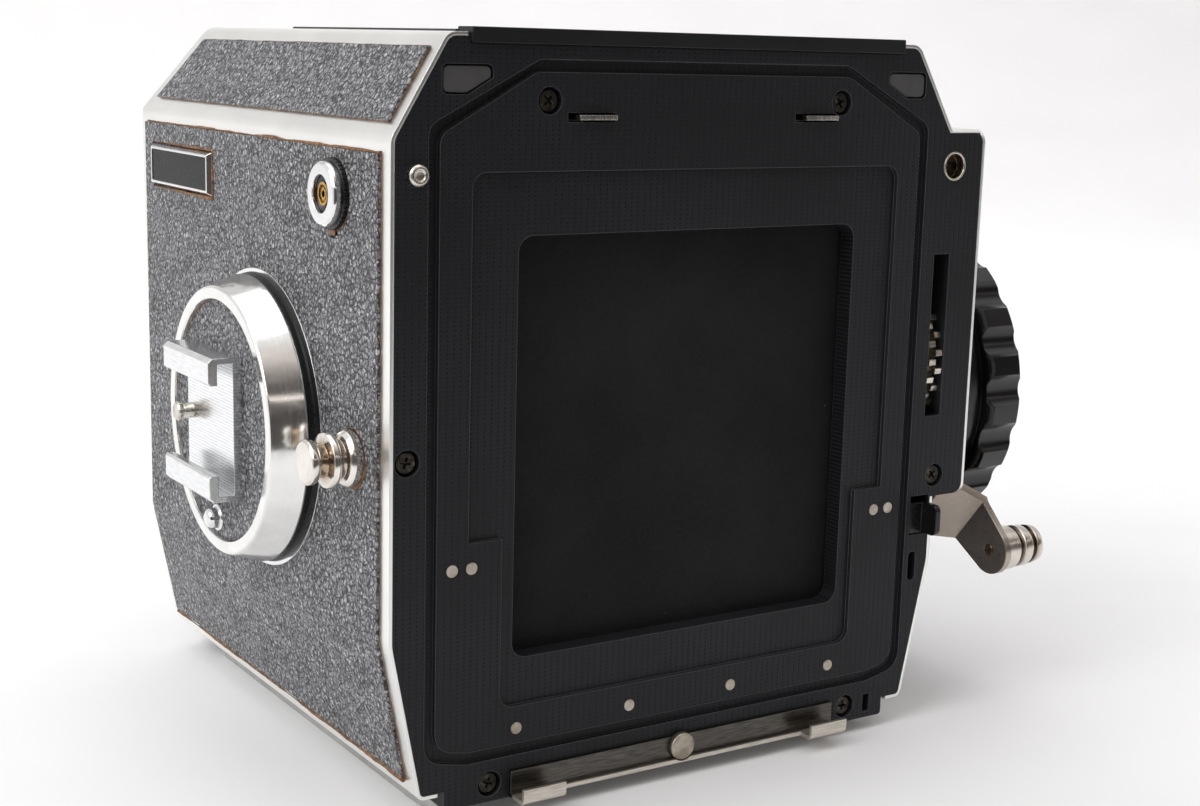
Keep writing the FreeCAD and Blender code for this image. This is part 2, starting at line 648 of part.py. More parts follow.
right_blank = common("right_shell_blank", shell_blank, side_box("right_shell_half", 1, "trim_half"))
housing_gap = box(
    "housing_gap", ("half_width - 3", "half_width + 1"), ("rear_y - 1", "housing_front_y - 1"),
    ("housing_low_z + 1", "housing_high_z - 3"),
)
tab_gap = box("tab_gap", ("half_width - 3", "half_width + 1"), ("rear_y - 1", "rear_y + plate_t + seam"),
              ("tab_low_z - seam", "tab_high_z + seam"))
node("right_shell", cut("right_shell_cut", right_blank, foot_trim, housing_gap, tab_gap))

# Chassis: one casting with the mirror box, the shutter chamber and the side compartments
core = cut(
    "core", common("core_blank", inner_prism, core_view),
    box("core_rear", ("-half_width - 5", "half_width + 9"), ("rear_y - 6", "rear_y + plate_t"),
        ("-5", "top_z + 9")),
)
chamber_front = "rear_y + plate_t + chamber_depth"
box_rear = "rear_y + plate_t + chamber_depth + baffle_t"
chassis = cut(
    "chassis_cut", core,
    box("mirror_space", ("-box_half", "box_half"), (box_rear, "front_y + 1"),
        ("box_floor_z", "box_roof_z")),
    box("chamber", ("-chamber_half", "chamber_half"), ("rear_y - 1", chamber_front),
        ("chamber_floor_z", "chamber_roof_z")),
    box("light_path", ("-baffle_half", "baffle_half"), ("rear_y", f"{box_rear} + 1"),
        ("baffle_low_z", "baffle_high_z")),
    box("left_space", ("-half_width - 5", "-box_half - box_wall"), (chamber_front, "side_front_y"),
        ("side_low_z", "side_high_z")),
    box("right_space", ("box_half + box_wall", "half_width + 5"), (chamber_front, "side_front_y"),
        ("side_low_z", "side_high_z")),
    box("belly", ("-belly_half", "belly_half"), ("belly_rear_y", "belly_front_y"), ("0", "belly_roof_z")),
    box("screen_seat", ("-screen_half", "screen_half"), ("screen_rear_y", "screen_front_y"),
        ("screen_z", "top_z + 5")),
    box("screen_light", ("-screen_half + screen_ledge", "screen_half - screen_ledge"),
        ("screen_rear_y + screen_ledge", "screen_front_y - screen_ledge"),
        ("box_roof_z - 1", "screen_z + 1")),
    box("gear_way", ("window_x - 0.4", "half_width + 3"), ("rear_y", f"{chamber_front} + 1"),
        ("window_low_z - 5", "window_high_z + 1")),
    box("slider_way", ("blade_left_x - blade_travel - 1", "blade_right_x + blade_w + 1"),
        ("rear_y", "rear_y + plate_t + catch_t + 0.3"), ("blade_z - 1.7", "blade_z + 1.7")),
    cylinder("mirror_bearing", "X", ("-box_half - 1.5", "mirror_y", "mirror_z"), "hinge_r + run_gap",
        "2 * box_half + 3"),
    cylinder("spindle_bearing", "X", ("box_half + 0.8", "dial_y", "axis_z"), "spindle_r - 1 + run_gap",
        "9"),
    cylinder("pin_way", "Y", ("pin_x", "rear_y - 1", "pin_z"), "pin_r + run_gap", "13"),
    cylinder("release_way", "Y", ("release_x", "front_y - front_t - release_depth - release_travel - 1",
        "release_z"),
             "release_r + run_gap", "20"),
    cylinder("low_roller_bearing", "X", ("-chamber_half - 1", "roller_y", "roller_low_z"),
        "journal_r + run_gap",
             "2 * chamber_half + 2"),
    cylinder("high_roller_bearing", "X", ("-chamber_half - 1", "roller_y", "roller_high_z"),
        "journal_r + run_gap",
             "2 * chamber_half + 2"),
    box("catch_way", ("catch_x - 0.3", "catch_x + catch_w + 0.3"), ("rear_y", "rear_y + plate_t + 1"),
        ("catch_low_z - 0.5", "catch_high_z + catch_travel + 0.5")),
)
node("chassis", chassis)

# Rear plate with its tab, gate, recess, light groove and openings
rear_slab = ("rear_y", "rear_y + plate_t")
rear_blank = fuse(
    "rear_blank",
    common("rear_outline", inner_prism, box("rear_depth", ("-60", "60"), rear_slab, ("0", "120"))),
    prism("rear_tab", "XZ", [
        ("half_width - 6", "tab_high_z"), ("tab_x", "tab_high_z", "tab_r"),
        ("tab_x", "tab_low_z", "tab_r"),
        ("half_width - 6", "tab_low_z")], *rear_slab),
)


def gate_corners(grow="0"):
    high = f"optical_z + gate_h / 2 + {grow}"
    low = f"optical_z - gate_h / 2 - {grow}"
    left = f"gate_x - gate_w / 2 - {grow}"
    right = f"gate_x + gate_w / 2 + {grow}"
    return [(left, high, "gate_r"), (right, high, "gate_r"), (right, low, "gate_r"),
        (left, low, "gate_r")]


def groove_corners(inset):
    """One edge line of the light groove, moved inwards by a size."""
    right = [
        (f"groove_top_half + 0.3 * ({inset})", f"groove_top_z - {inset}", "edge_r"),
        (f"groove_half - ({inset})", f"groove_shoulder_z - 0.7 * ({inset})", "edge_r"),
        (f"groove_half - ({inset})", f"groove_corner_z + 0.8 * ({inset})", "groove_r"),
        (f"groove_bend_x - 0.1 * ({inset})", f"groove_low_z + {inset}", "edge_r"),
    ]
    left = [(f"-({x})", z, r) for x, z, r in right]
    return left + right[::-1]


groove_slab = ("rear_y - 1", "rear_y + groove_depth")
light_groove = cut(
    "light_groove",
    prism("groove_outside", "XZ", groove_corners("0"), *groove_slab),
    prism("groove_inside", "XZ", groove_corners("groove_w"), "rear_y - 2", "rear_y + groove_depth + 1"),
)
recess = prism("recess", "XZ", [
    ("gate_x - recess_half", "recess_top_z", "recess_r"),
    ("gate_x + recess_half", "recess_top_z", "recess_r"),
    ("gate_x + recess_half", "recess_step_z"), ("gate_x + recess_low_half", "recess_step_z"),
    ("gate_x + recess_low_half", "recess_low_z", "recess_r"),
    ("gate_x - recess_low_half", "recess_low_z", "recess_r"),
    ("gate_x - recess_low_half", "recess_step_z"), ("gate_x - recess_half", "recess_step_z"),
], "rear_y - 1", "rear_y + recess_depth")


def rear_hole(name, x, z, width, height):
    """A four-sided opening right through the rear plate."""
    return box(name, (f"{x} - ({width}) / 2", f"{x} + ({width}) / 2"),
        ("rear_y - 1", "rear_y + plate_t + 1"),
               (f"{z} - ({height}) / 2", f"{z} + ({height}) / 2"))


# Places of the black screws and how far each cross is turned
SCREWS = [(-23.9, 95.8, 45), (24.5, 95.8, 62), (-44.0, 50.2, 15), (46.6, 39.3, 50), (-31.3, 4.6, 20),
          (30.9, 4.6, 6)]
side_rivet_x = ["gate_x - recess_half - 2.4", "gate_x - recess_low_half - 4.6",
                "gate_x + recess_low_half + 3.9", "gate_x + recess_half + 1.6"]
low_rivet_x = ["gate_x - 27.7", "gate_x - 9.3", "gate_x + 8.4", "gate_x + 26.7"]
rivet_places = [(x, "rivet_side_z") for x in side_rivet_x] + [(x, "rivet_low_z") for x in low_rivet_x]


def pad_corners(side, play="0"):
    """The five corners of one corner insert; side is -1 on the left."""
    sign = "-" if side < 0 else "+"
    inner = f"gate_x {sign} (pad_x - {play})"
    outer = f"gate_x {sign} (pad_outer_x + {play})"
    middle = f"gate_x {sign} (pad_x / 2 + pad_outer_x / 2)"
    high = f"pad_top_z + {play}"
    low = f"pad_low_z - {play}"
    return [(outer, high, "pad_r"), (inner, high, "pad_r"), (inner, "pad_mid_z"), (middle, low),
            (outer, low, "pad_r")]


rear_tools = [
    prism("gate", "XZ", gate_corners(), "rear_y - 1", "rear_y + plate_t + 1"),
    light_groove,
    recess,
    rear_hole("gear_window", "window_x + window_w / 2", "window_low_z / 2 + window_high_z / 2",
        "window_w",
              "window_high_z - window_low_z"),
    box("gear_relief", ("window_x - 0.1", "window_x + window_w + 0.1"),
        ("rear_y + 1.2", "rear_y + plate_t + 1"), ("window_low_z - 1.5", "window_low_z + 1")),
    rear_hole("left_blade_slot", "blade_left_x - blade_travel / 2 + blade_w / 2", "blade_z",
              "blade_w + blade_travel + 0.3", "blade_slot"),
    rear_hole("right_blade_slot", "blade_right_x - blade_travel / 2 + blade_w / 2", "blade_z",
              "blade_w + blade_travel + 0.3", "blade_slot"),
    rear_hole("small_notch", "notch_x", "notch_z", "notch_w", "notch_length"),
    rear_hole("catch_slot", "catch_x + catch_w / 2",
        "catch_low_z / 2 + catch_high_z / 2 + catch_travel / 2",
              "catch_w + 0.3", "catch_high_z - catch_low_z + catch_travel + 0.3"),
    rear_hole("interlock_slot", "slot_x", "slot_z", "slot_w", "slot_length - slot_w"),
    cylinder("slot_top", "Y", ("slot_x", "rear_y - 1", "slot_z + slot_length / 2 - slot_w / 2"),
        "slot_w / 2", "plate_t + 2"),
    cylinder("slot_foot", "Y", ("slot_x", "rear_y - 1", "slot_z - slot_length / 2 + slot_w / 2"),
        "slot_w / 2", "plate_t + 2"),
    cylinder("pin_hole", "Y", ("pin_x", "rear_y - 1", "pin_z"), "pin_r + run_gap", "plate_t + 2"),
    cylinder("ring_seat", "Y", ("ring_x", "rear_y - 1", "pin_z"), "ring_r", "plate_t"),
    box("bar_notch", ("-bar_half", "bar_half"), ("rear_y - 1", "rear_y + plate_t + 1"),
        ("bar_z", "top_z + 2")),
]
for side, word in ((-1, "left"), (1, "right")):
    rear_tools.append(prism(f"{word}_pad_pocket", "XZ", pad_corners(side, "0.2"), "rear_y - 1",
        "rear_y + pad_depth"))
for number, (x, z, turn) in enumerate(SCREWS):
    rear_tools.append(cylinder(f"screw_seat_{number}", "Y", (x, "rear_y - 1", z), "screw_r + screw_play",
        "1 + screw_sunk + screw_head_t"))
    rear_tools.append(cylinder(f"screw_hole_{number}", "Y", (x, "rear_y", z), "screw_shank_r",
        "plate_t + 1"))
for number, (x, z) in enumerate(rivet_places):
    rear_tools.append(cylinder(f"rivet_hole_{number}", "Y", (x, "rear_y - 1", z), "rivet_r", "plate_t"))
node("rear_plate", cut("rear_plate_cut", rear_blank, *rear_tools))

# Corner inserts, top bar and the small hardware of the rear plate
pads = [
    prism(f"{word}_pad", "XZ", pad_corners(side), "rear_y + pad_sunk", "rear_y + pad_depth")
    for side, word in ((-1, "left"), (1, "right"))
]
node("corner_inserts", group("corner_inserts", pads))

top_bar = Body("top_bar_body")
bar_sketch = top_bar.sketch("section", "YZ", "-bar_half + seam")
outline(bar_sketch, [
    ("rear_y - bar_proud", "bar_z + seam"), ("rear_y - bar_proud", "bar_top_z"),
    ("rear_y + plate_t", "bar_top_z"), ("rear_y + plate_t", "bar_z + seam")])
top_bar.pad("bar", bar_sketch, "2 * bar_half - 2 * seam")
node("top_bar", top_bar.body)


def screw(number, x, z, turn):
    """A black cross-head screw, its head under the face and its cross turned by an angle."""
    piece = Body(f"screw_{number}")
    profile = piece.sketch("profile", "XZ")
    outline(profile, [
        ("0", "0"), ("screw_r", "0"), ("screw_r", "screw_head_t"), ("screw_shank_r", "screw_head_t"),
        ("screw_shank_r", "plate_t - screw_sunk"), ("0", "plate_t - screw_sunk")])
    piece.revolve("turning", profile)
    for part, width, height in (("flat", "screw_cross", "screw_slot"),
                                ("upright", "screw_slot", "screw_cross")):
        slot = piece.sketch(part, "XY")
        outline(slot, [(f"-{width} / 2", f"-{height} / 2"), (f"-{width} / 2", f"{height} / 2"),
                       (f"{width} / 2", f"{height} / 2"), (f"{width} / 2", f"-{height} / 2")])
        piece.pocket(part, slot, "0.6", True)
    place(piece.body, x, "rear_y + screw_sunk", z, TURNS["Y"] * FreeCAD.Rotation(V(0, 0, 1), turn))
    return piece.body


node("plate_screws", group("plate_screws", [screw(n, *spot) for n, spot in enumerate(SCREWS)]))
node("gate_rivets", group("gate_rivets", [
    cylinder(f"rivet_{n}", "Y", (x, "rear_y - rivet_proud", z), "rivet_r", "plate_t - 1 + rivet_proud")
    for n, (x, z) in enumerate(rivet_places)]))

slider_y = ("rear_y + plate_t + 0.15", "rear_y + plate_t + 0.15 + catch_t")
blades = [
    box(f"{word}_blade", (x, f"{x} + blade_w"), ("rear_y - blade_proud", slider_y[1]),
        ("blade_z - blade_t / 2", "blade_z + blade_t / 2"))
    for word, x in (("left", "blade_left_x"), ("right", "blade_right_x"))
]
hook_bar = box("hook_bar", ("blade_left_x", "blade_right_x + blade_w"), slider_y,
    ("blade_z - 1.4", "blade_z + 1.4"))
node("hook_slider", fuse("hook_slider_fuse", hook_bar, *blades))

node("interlock_pin", turned("interlock_pin_body", "Y", ("pin_x", "rear_y - pin_proud", "pin_z"), [
    ("0", "0.25"), ("pin_r - 0.8", "0.25"), ("pin_r - 0.6", "0"), ("pin_r - 0.3", "0"), ("pin_r", "0.3"),
    ("pin_r", "pin_length"), ("0", "pin_length")]))
node("locating_ring", turned("locating_ring_body", "Y", ("ring_x", "rear_y - 0.2", "pin_z"), [
    ("0", "ring_floor"), ("ring_hole_r", "ring_floor"), ("ring_hole_r", "0.15"), ("ring_hole_r + 0.12", "0"),
    ("ring_r - 0.12", "0"), ("ring_r", "0.15"), ("ring_r", "plate_t - 0.9"), ("0", "plate_t - 0.9")]))

catch_plate = box("catch_plate", ("catch_x", "catch_x + catch_w"),
    ("rear_y + 0.1", "rear_y + 0.1 + catch_t"),
                  ("catch_low_z", "catch_high_z"))
catch_finger = prism("catch_finger", "YZ", [
    ("rear_y + 0.1 + catch_t", "catch_low_z"), ("rear_y + 0.1 + catch_t", "catch_high_z"),
    ("rear_y - catch_reach", "catch_high_z", "base_r"), ("rear_y - catch_reach", "catch_low_z", "base_r"),
], "catch_x + catch_w - catch_t", "catch_x + catch_w")
catch_tail = box("catch_tail", ("catch_x + 0.4", "catch_x + catch_w - catch_t"),
    ("rear_y + 0.1", "rear_y + plate_t + 0.6"),
                 ("catch_low_z + 1", "catch_low_z + 3"))
node("back_catch", fuse("back_catch_fuse", catch_plate, catch_finger, catch_tail))

latch_plate = box("latch_plate", ("latch_left_x", "latch_right_x"), ("rear_y - latch_t", "rear_y"),
    ("latch_low_z", "latch_top_z"))
latch_lip = box("latch_lip_strip", ("latch_left_x", "latch_right_x"), ("rear_y - latch_lip", "rear_y"),
                ("latch_low_z", "latch_low_z + latch_t"))
latch_parts = [latch_plate, latch_lip]
for word, x in (("left", ("latch_left_x", "latch_left_x + latch_hook_w")),
                ("right", ("latch_right_x - latch_hook_w", "latch_right_x"))):
    latch_parts.append(prism(f"{word}_latch_hook", "YZ", [
        ("rear_y - latch_t / 2", "latch_low_z"), ("rear_y - latch_t / 2", "latch_low_z + latch_t"),
        ("latch_hook_y + latch_t", "latch_low_z + latch_t"), ("latch_hook_y + latch_t", "latch_hook_z"),
        ("latch_hook_y", "latch_hook_z"), ("latch_hook_y", "latch_low_z", "base_r")], *x))
# The rivet's head is seated in a shallow spot face, which also clears the lip
spot_face = cylinder("rivet_spot_face", "Y", ("gate_x - 0.6", "rear_y - latch_lip - 1", "latch_rivet_z"),
                     "latch_rivet_r + 0.1", "latch_lip + 1 - latch_t + latch_seat")
node("lower_bar", cut("lower_bar_cut", fuse("lower_bar_fuse", *latch_parts), spot_face))
node("lower_bar_rivet", turned("lower_bar_rivet_body", "-Y",
    ("gate_x - 0.6", "rear_y - latch_t + latch_seat", "latch_rivet_z"), [
    ("0", "0"), ("latch_rivet_r", "0"), ("latch_rivet_r", "latch_rivet_t - 0.2"),
    ("latch_rivet_r - 0.2", "latch_rivet_t"), ("0", "latch_rivet_t")]))

# Shutter: the stretched first curtain, the second curtain on its roller, and the rollers
curtain_y = "roller_y - roller_r - curtain_gap"
node("first_curtain", box("first_curtain_box", ("-roller_half", "roller_half"),
    (f"{curtain_y} - curtain_t", curtain_y),
                          ("roller_low_z - 1", "roller_high_z + 1")))


def roller(name, z):
    shoulder = "chamber_half - roller_half - 0.1"
    far_shoulder = "chamber_half + roller_half + 1.7"
    return turned(name, "X", ("-chamber_half - 0.9", "roller_y", z), [
        ("0", "0"), ("journal_r", "0"), ("journal_r", shoulder), ("roller_core_r", shoulder),
        ("roller_core_r", far_shoulder), ("journal_r", far_shoulder),
        ("journal_r", "2 * chamber_half + 1.8"),
        ("0", "2 * chamber_half + 1.8")])


node("upper_roller", roller("upper_roller_body", "roller_high_z"))
node("lower_roller", roller("lower_roller_body", "roller_low_z"))
node("second_curtain", turned("second_curtain_body", "X", ("-roller_half", "roller_y", "roller_low_z"), [
    ("roller_core_r", "0"), ("roller_r", "0"), ("roller_r", "2 * roller_half"),
    ("roller_core_r", "2 * roller_half")]))

# Mirror, drawn level along Y and turned down to 45 degrees at its hinge
LEANING = FreeCAD.Rotation(V(1, 0, 0), -45)


def on_mirror(name, half, start, length, level, thickness):
    """A flat piece of the mirror; level is its height over the hinge when raised."""
    sheet_piece = doc.addObject("Part::Box", name)
    root = 1 / math.sqrt(2)
    place(sheet_piece, f"-({half})", f"mirror_y + {root} * ({start}) + {root} * ({level})",
          f"mirror_z - {root} * ({start}) + {root} * ({level})", LEANING)
    drive(sheet_piece, Length=f"2 * ({half})", Width=length, Height=thickness)
    return sheet_piece


carrier = fuse(
    "mirror_carrier_fuse",
    on_mirror("carrier_sheet", "mirror_half", "0", "mirror_length", "hinge_r - 0.3", "carrier_t"),
    cylinder("mirror_shaft", "X", ("-box_half - 1.4", "mirror_y", "mirror_z"), "hinge_r",
        "2 * box_half + 2.8"),
)
node("mirror_carrier", carrier)
node("mirror_glass", on_mirror("mirror_glass_box", "mirror_half - 0.5", "1", "mirror_length - 1.5",
                               "hinge_r - 0.3 + carrier_t", "mirror_t"))

# Focusing screen and top
node("focusing_screen", box("focusing_screen_box", ("-screen_half + seam", "screen_half - seam"),
                            ("screen_rear_y + seam", "screen_front_y - seam"),
                            ("screen_z", "screen_z + screen_t")))
frame_z = ("screen_z + screen_t", "screen_z + screen_t + screen_frame_t")
node("screen_frame", cut(
    "screen_frame_cut",
    box("screen_frame_outer", ("-screen_half + seam", "screen_half - seam"),
        ("screen_rear_y + seam", "screen_front_y - seam"), frame_z),
    box("screen_frame_hole", ("-screen_half + screen_frame_w", "screen_half - screen_frame_w"),
        ("screen_rear_y + screen_frame_w", "screen_front_y - screen_frame_w"), ("screen_z", "top_z"))))
top_strip = box("top_strip", ("-trim_half + seam", "trim_half - seam"),
    ("rear_y + plate_t", "slope_y - front_t"),
                ("shoulder_z", "top_z + 1"))
finder_rails = box("finder_rails", ("-trim_half + seam", "trim_half - seam"),
                   ("rear_y + plate_t", "rail_front_y"), ("top_z - shell_t / 2", "top_z + rail_t"))
node("top_cover", cut(
    "top_cover_cut", fuse("top_cover_blank", common("top_cover_sheet", shell_blank, top_strip), finder_rails),
    box("finder_opening", ("-screen_half", "screen_half"), ("screen_rear_y", "screen_front_y"),
        ("shoulder_z", "top_z + 2"))))

# Front plate, its covering and the lens mount
front_blank = cut("front_blank", common("front_outer", outer_prism, front_view), core_view)
throat = cylinder("throat", "Y", ("0", "front_y - front_t - 9", "optical_z"), "throat_r", "30")
node("front_plate", cut(
    "front_plate_cut", front_blank, throat,
    cylinder("release_hole", "Y", ("release_x", "front_y - 9", "release_z"), "release_r + run_gap",
        "20")))
front_panel = Body("front_panel_body")
panel_sketch = front_panel.sketch("outline", "XZ", "front_y + leather_t")
panel_half = "half_width - front_panel_margin"
outline(panel_sketch, [
    (f"-({panel_half})", "panel_top_z", "edge_r"), (panel_half, "panel_top_z", "edge_r"),
    (panel_half, "taper_z"), ("foot_half - front_panel_margin", "foot_z + 1", "edge_r"),
    ("-foot_half + front_panel_margin", "foot_z + 1", "edge_r"), (f"-({panel_half})", "taper_z")])
front_panel.pad("sheet", panel_sketch, "leather_t")
hole_sketch = front_panel.sketch("holes", "XZ", "front_y + leather_t")
circle(hole_sketch, "0", "optical_z", "flange_r + 0.3")
circle(hole_sketch, "release_x", "release_z", "release_r + 0.6")
front_panel.pocket("hole", hole_sketch, "leather_t + 1", True)
node("front_covering", front_panel.body)

guide_r = "throat_r + guide_wall"
node("mount_base", turned("mount_base_body", "Y", ("0", "front_y", "optical_z"), [
    ("throat_r", "0"), ("flange_r", "0"), ("flange_r", "flange_t - 0.5"), ("flange_r - 0.5", "flange_t"),
    (guide_r, "flange_t"), (guide_r, "flange_t + focus_gap + focus_w + focus_gap"),
    ("throat_r", "flange_t + focus_gap + focus_w + focus_gap")]))
node("lens_mount", turned("lens_mount_body", "Y", ("0", "mount_rear_y", "optical_z"), [
    ("mount_hole_r", "0"), ("throat_r - run_gap", "0"), ("throat_r - run_gap", "mount_length"),
    ("mount_hole_r + 0.6", "mount_length"), ("mount_hole_r", "mount_length - 0.6")]))
focus_ring = Body("focus_ring_body")
focus_sketch = focus_ring.sketch("profile", "XZ")
outline(focus_sketch, [
    (f"{guide_r} + run_gap", "0"), ("focus_r - 0.5", "0"), ("focus_r", "0.5"),
    ("focus_r", "focus_w - 0.5"),
    ("focus_r - 0.5", "focus_w"), (f"{guide_r} + run_gap", "focus_w")])
focus_ring.revolve("ring", focus_sketch)
rib_sketch = focus_ring.sketch("rib", "XY", "focus_w - 1.6")
outline(rib_sketch, [
    ("focus_r + 1", "-1.5"), ("focus_r - 0.7", "-0.6"), ("focus_r - 0.7", "0.6"), ("focus_r + 1", "1.5")])
rib = focus_ring.pocket("rib", rib_sketch, "focus_w - 3.2")
focus_ring.around("ribs", rib, "focus_ribs")
node("focus_ring", focus_ring.stand("Y", ("0", "front_y + flange_t + focus_gap", "optical_z")))
release_top = "front_t + release_depth + release_proud"
node("shutter_release", turned("shutter_release_body", "Y",
                               ("release_x", "front_y - front_t - release_depth", "release_z"), [
    ("0", "0"), ("release_r", "0"), ("release_r", f"{release_top} - 0.6"),
    ("release_r - 0.6", release_top),
    ("release_r - 1.2", f"{release_top} - 0.3"), ("0", f"{release_top} - 0.5")]))

# Base plate with the tripod bush
foot_plate = Body("base_plate_body")
foot_sketch = foot_plate.sketch("outline", "XY", "0")
outline(foot_sketch, [
    ("-foot_plate_half", "foot_plate_rear_y", "edge_r"),
    ("-foot_plate_half", "foot_plate_front_y", "edge_r"),
    ("foot_plate_half", "foot_plate_front_y", "edge_r"),
    ("foot_plate_half", "foot_plate_rear_y", "edge_r")])
foot_plate.pad("plate", foot_sketch, "base_z + shell_t")
bush_sketch = foot_plate.sketch("bush", "XY", "base_z + shell_t")
circle(bush_sketch, "0", "0", "socket_body_r")
foot_plate.pocket("bush", bush_sketch, "base_z + shell_t + 1")
node("base_plate", foot_plate.body)
bush_low = "base_z + shell_t"
node("tripod_socket", turned("tripod_socket_body", "Z", ("0", "0", "0"), [
    ("socket_r", "0"), ("socket_body_r", "0"), ("socket_body_r", bush_low),
    ("socket_body_r + 3", bush_low),
    ("socket_body_r + 3", f"{bush_low} + 2"), ("socket_body_r - 1", f"{bush_low} + 2"),
    ("socket_body_r - 1", "socket_length"),
    ("socket_r", "socket_length")]))

# Left side: rim, base ring, battery cap, shoe, stop pin and check button
left_face = "-half_width"
cap_at = (left_face, "cap_y", "axis_z")
node("cap_rim", turned("cap_rim_body", "-X", cap_at, [
    ("ring_out_r", "0"), ("rim_r", "0"), ("rim_r", "rim_t"), ("ring_out_r", "rim_t")]))
node("cap_base_ring", turned("cap_base_ring_body", "-X", cap_at, [
    ("ring_in_r", "0"), ("ring_out_r", "0"), ("ring_out_r", "0.5 * ring_t"),
    ("ring_out_r - 0.3", "0.5 * ring_t"), ("ring_out_r - 0.3", "ring_t"), ("ring_in_r", "ring_t")]))
cap = Body("battery_cap_body")
cap_sketch = cap.sketch("profile", "XZ")
cap_foot = "ring_t + cap_gap"
outline(cap_sketch, [
    ("0", "cap_floor - cap_floor_t"), ("cap_head_r - cap_wall", "cap_floor - cap_floor_t"),
    ("cap_foot_r - cap_wall", cap_foot), ("cap_foot_r", cap_foot), ("cap_foot_r", f"{cap_foot} + 0.3"),
    ("cap_head_r", "cap_top - 0.3"), ("cap_head_r - 0.3", "cap_top"), ("cap_lip_r + 0.2", "cap_top"),
    ("cap_lip_r", "cap_top - 0.2"), ("cap_lip_r", "cap_floor"), ("0", "cap_floor")])
cap.revolve("cap", cap_sketch)
cap_hole = cap.sketch("button_hole", "XY", "cap_floor")
circle(cap_hole, "button_z - axis_z", "button_y - cap_y", "button_r + run_gap")
cap.pocket("button_hole", cap_hole, "cap_floor_t + 1")
node("battery_cap", cap.stand("-X", cap_at))

shoe_out = "half_width + cap_floor"
shoe_half = "shoe_inner_w / 2 + shoe_web"
shoe_steps = {
    "base": f"{shoe_out} + shoe_base_t",
    "slot": f"{shoe_out} + shoe_base_t + shoe_slot",
    "lip": f"{shoe_out} + shoe_base_t + shoe_slot + shoe_lip_t",
}
shoe = Body("accessory_shoe_body")
shoe_sketch = shoe.sketch("section", "XZ", "shoe_front_y")
outline(shoe_sketch, [
    (f"-({shoe_out})", f"shoe_z + {shoe_half}"), (f"-({shoe_out})", f"shoe_z - ({shoe_half})"),
    (f"-({shoe_steps['lip']}) + shoe_chamfer", f"shoe_z - ({shoe_half})"),
    (f"-({shoe_steps['lip']})", f"shoe_z - ({shoe_half}) + shoe_chamfer"),
    (f"-({shoe_steps['lip']})", "shoe_z - shoe_opening / 2 - 0.3"),
    (f"-({shoe_steps['lip']}) + 0.3", "shoe_z - shoe_opening / 2"),
    (f"-({shoe_steps['slot']})", "shoe_z - shoe_opening / 2"),
    (f"-({shoe_steps['slot']})", "shoe_z - shoe_inner_w / 2"),
    (f"-({shoe_steps['base']})", "shoe_z - shoe_inner_w / 2"),
    (f"-({shoe_steps['base']})", "shoe_z + shoe_inner_w / 2"),
    (f"-({shoe_steps['slot']})", "shoe_z + shoe_inner_w / 2"),
    (f"-({shoe_steps['slot']})", "shoe_z + shoe_opening / 2"),
    (f"-({shoe_steps['lip']}) + 0.3", "shoe_z + shoe_opening / 2"),
    (f"-({shoe_steps['lip']})", "shoe_z + shoe_opening / 2 + 0.3"),
    (f"-({shoe_steps['lip']})", f"shoe_z + {shoe_half} - shoe_chamfer"),
    (f"-({shoe_steps['lip']}) + shoe_chamfer", f"shoe_z + {shoe_half}")])
shoe.pad("rails", shoe_sketch, "shoe_front_y - shoe_rear_y")
node("accessory_shoe", shoe.body)
node("shoe_stop", turned("shoe_stop_body", "-X", (f"-({shoe_steps['base']})", "stop_y", "shoe_z"), [
    ("0", "0"), ("stop_r", "0"), ("stop_r", "stop_reach - 1.1"), ("stop_head_r", "stop_reach - 1"),
    ("stop_head_r", "stop_reach - 0.3"), ("stop_head_r - 0.3", "stop_reach"), ("0", "stop_reach")]))
disc_blank = cylinder("cap_disc_blank", "-X", (f"-({shoe_out})", "cap_y", "axis_z"), "cap_lip_r - seam",
    "disc_t")
shoe_window = box("shoe_window", (f"-({shoe_out}) - 2", f"-({shoe_out}) + 1"),
    ("shoe_rear_y", "shoe_front_y"),
                  (f"shoe_z - ({shoe_half})", f"shoe_z + {shoe_half}"))
button_window = cylinder("button_window", "X", (f"-({shoe_out}) - 2", "button_y", "button_z"),
    "collar_r", "4")
node("cap_covering", cut("cap_covering_cut", disc_blank, shoe_window, button_window))
node("button_collar", turned("button_collar_body", "-X", (f"-({shoe_out})", "button_y", "button_z"), [
    ("button_r + run_gap", "0"), ("collar_r", "0"), ("collar_r", "disc_t + 0.3"),
    ("collar_r - 0.2", "disc_t + 0.5"),
    ("button_r + run_gap", "disc_t + 0.5")]))
node("check_button", turned("check_button_body", "-X", (f"-({shoe_out}) + cap_floor_t + 0.8", "button_y",
    "button_z"), [
    ("0", "0"), ("button_r", "0"), ("button_r", "cap_floor_t + 0.8 + button_reach - 0.9"),
    ("button_r - 0.25", "cap_floor_t + 0.8 + button_reach - 0.35"),
    ("button_r - 0.8", "cap_floor_t + 0.8 + button_reach"), ("0", "cap_floor_t + 0.8 + button_reach")]))

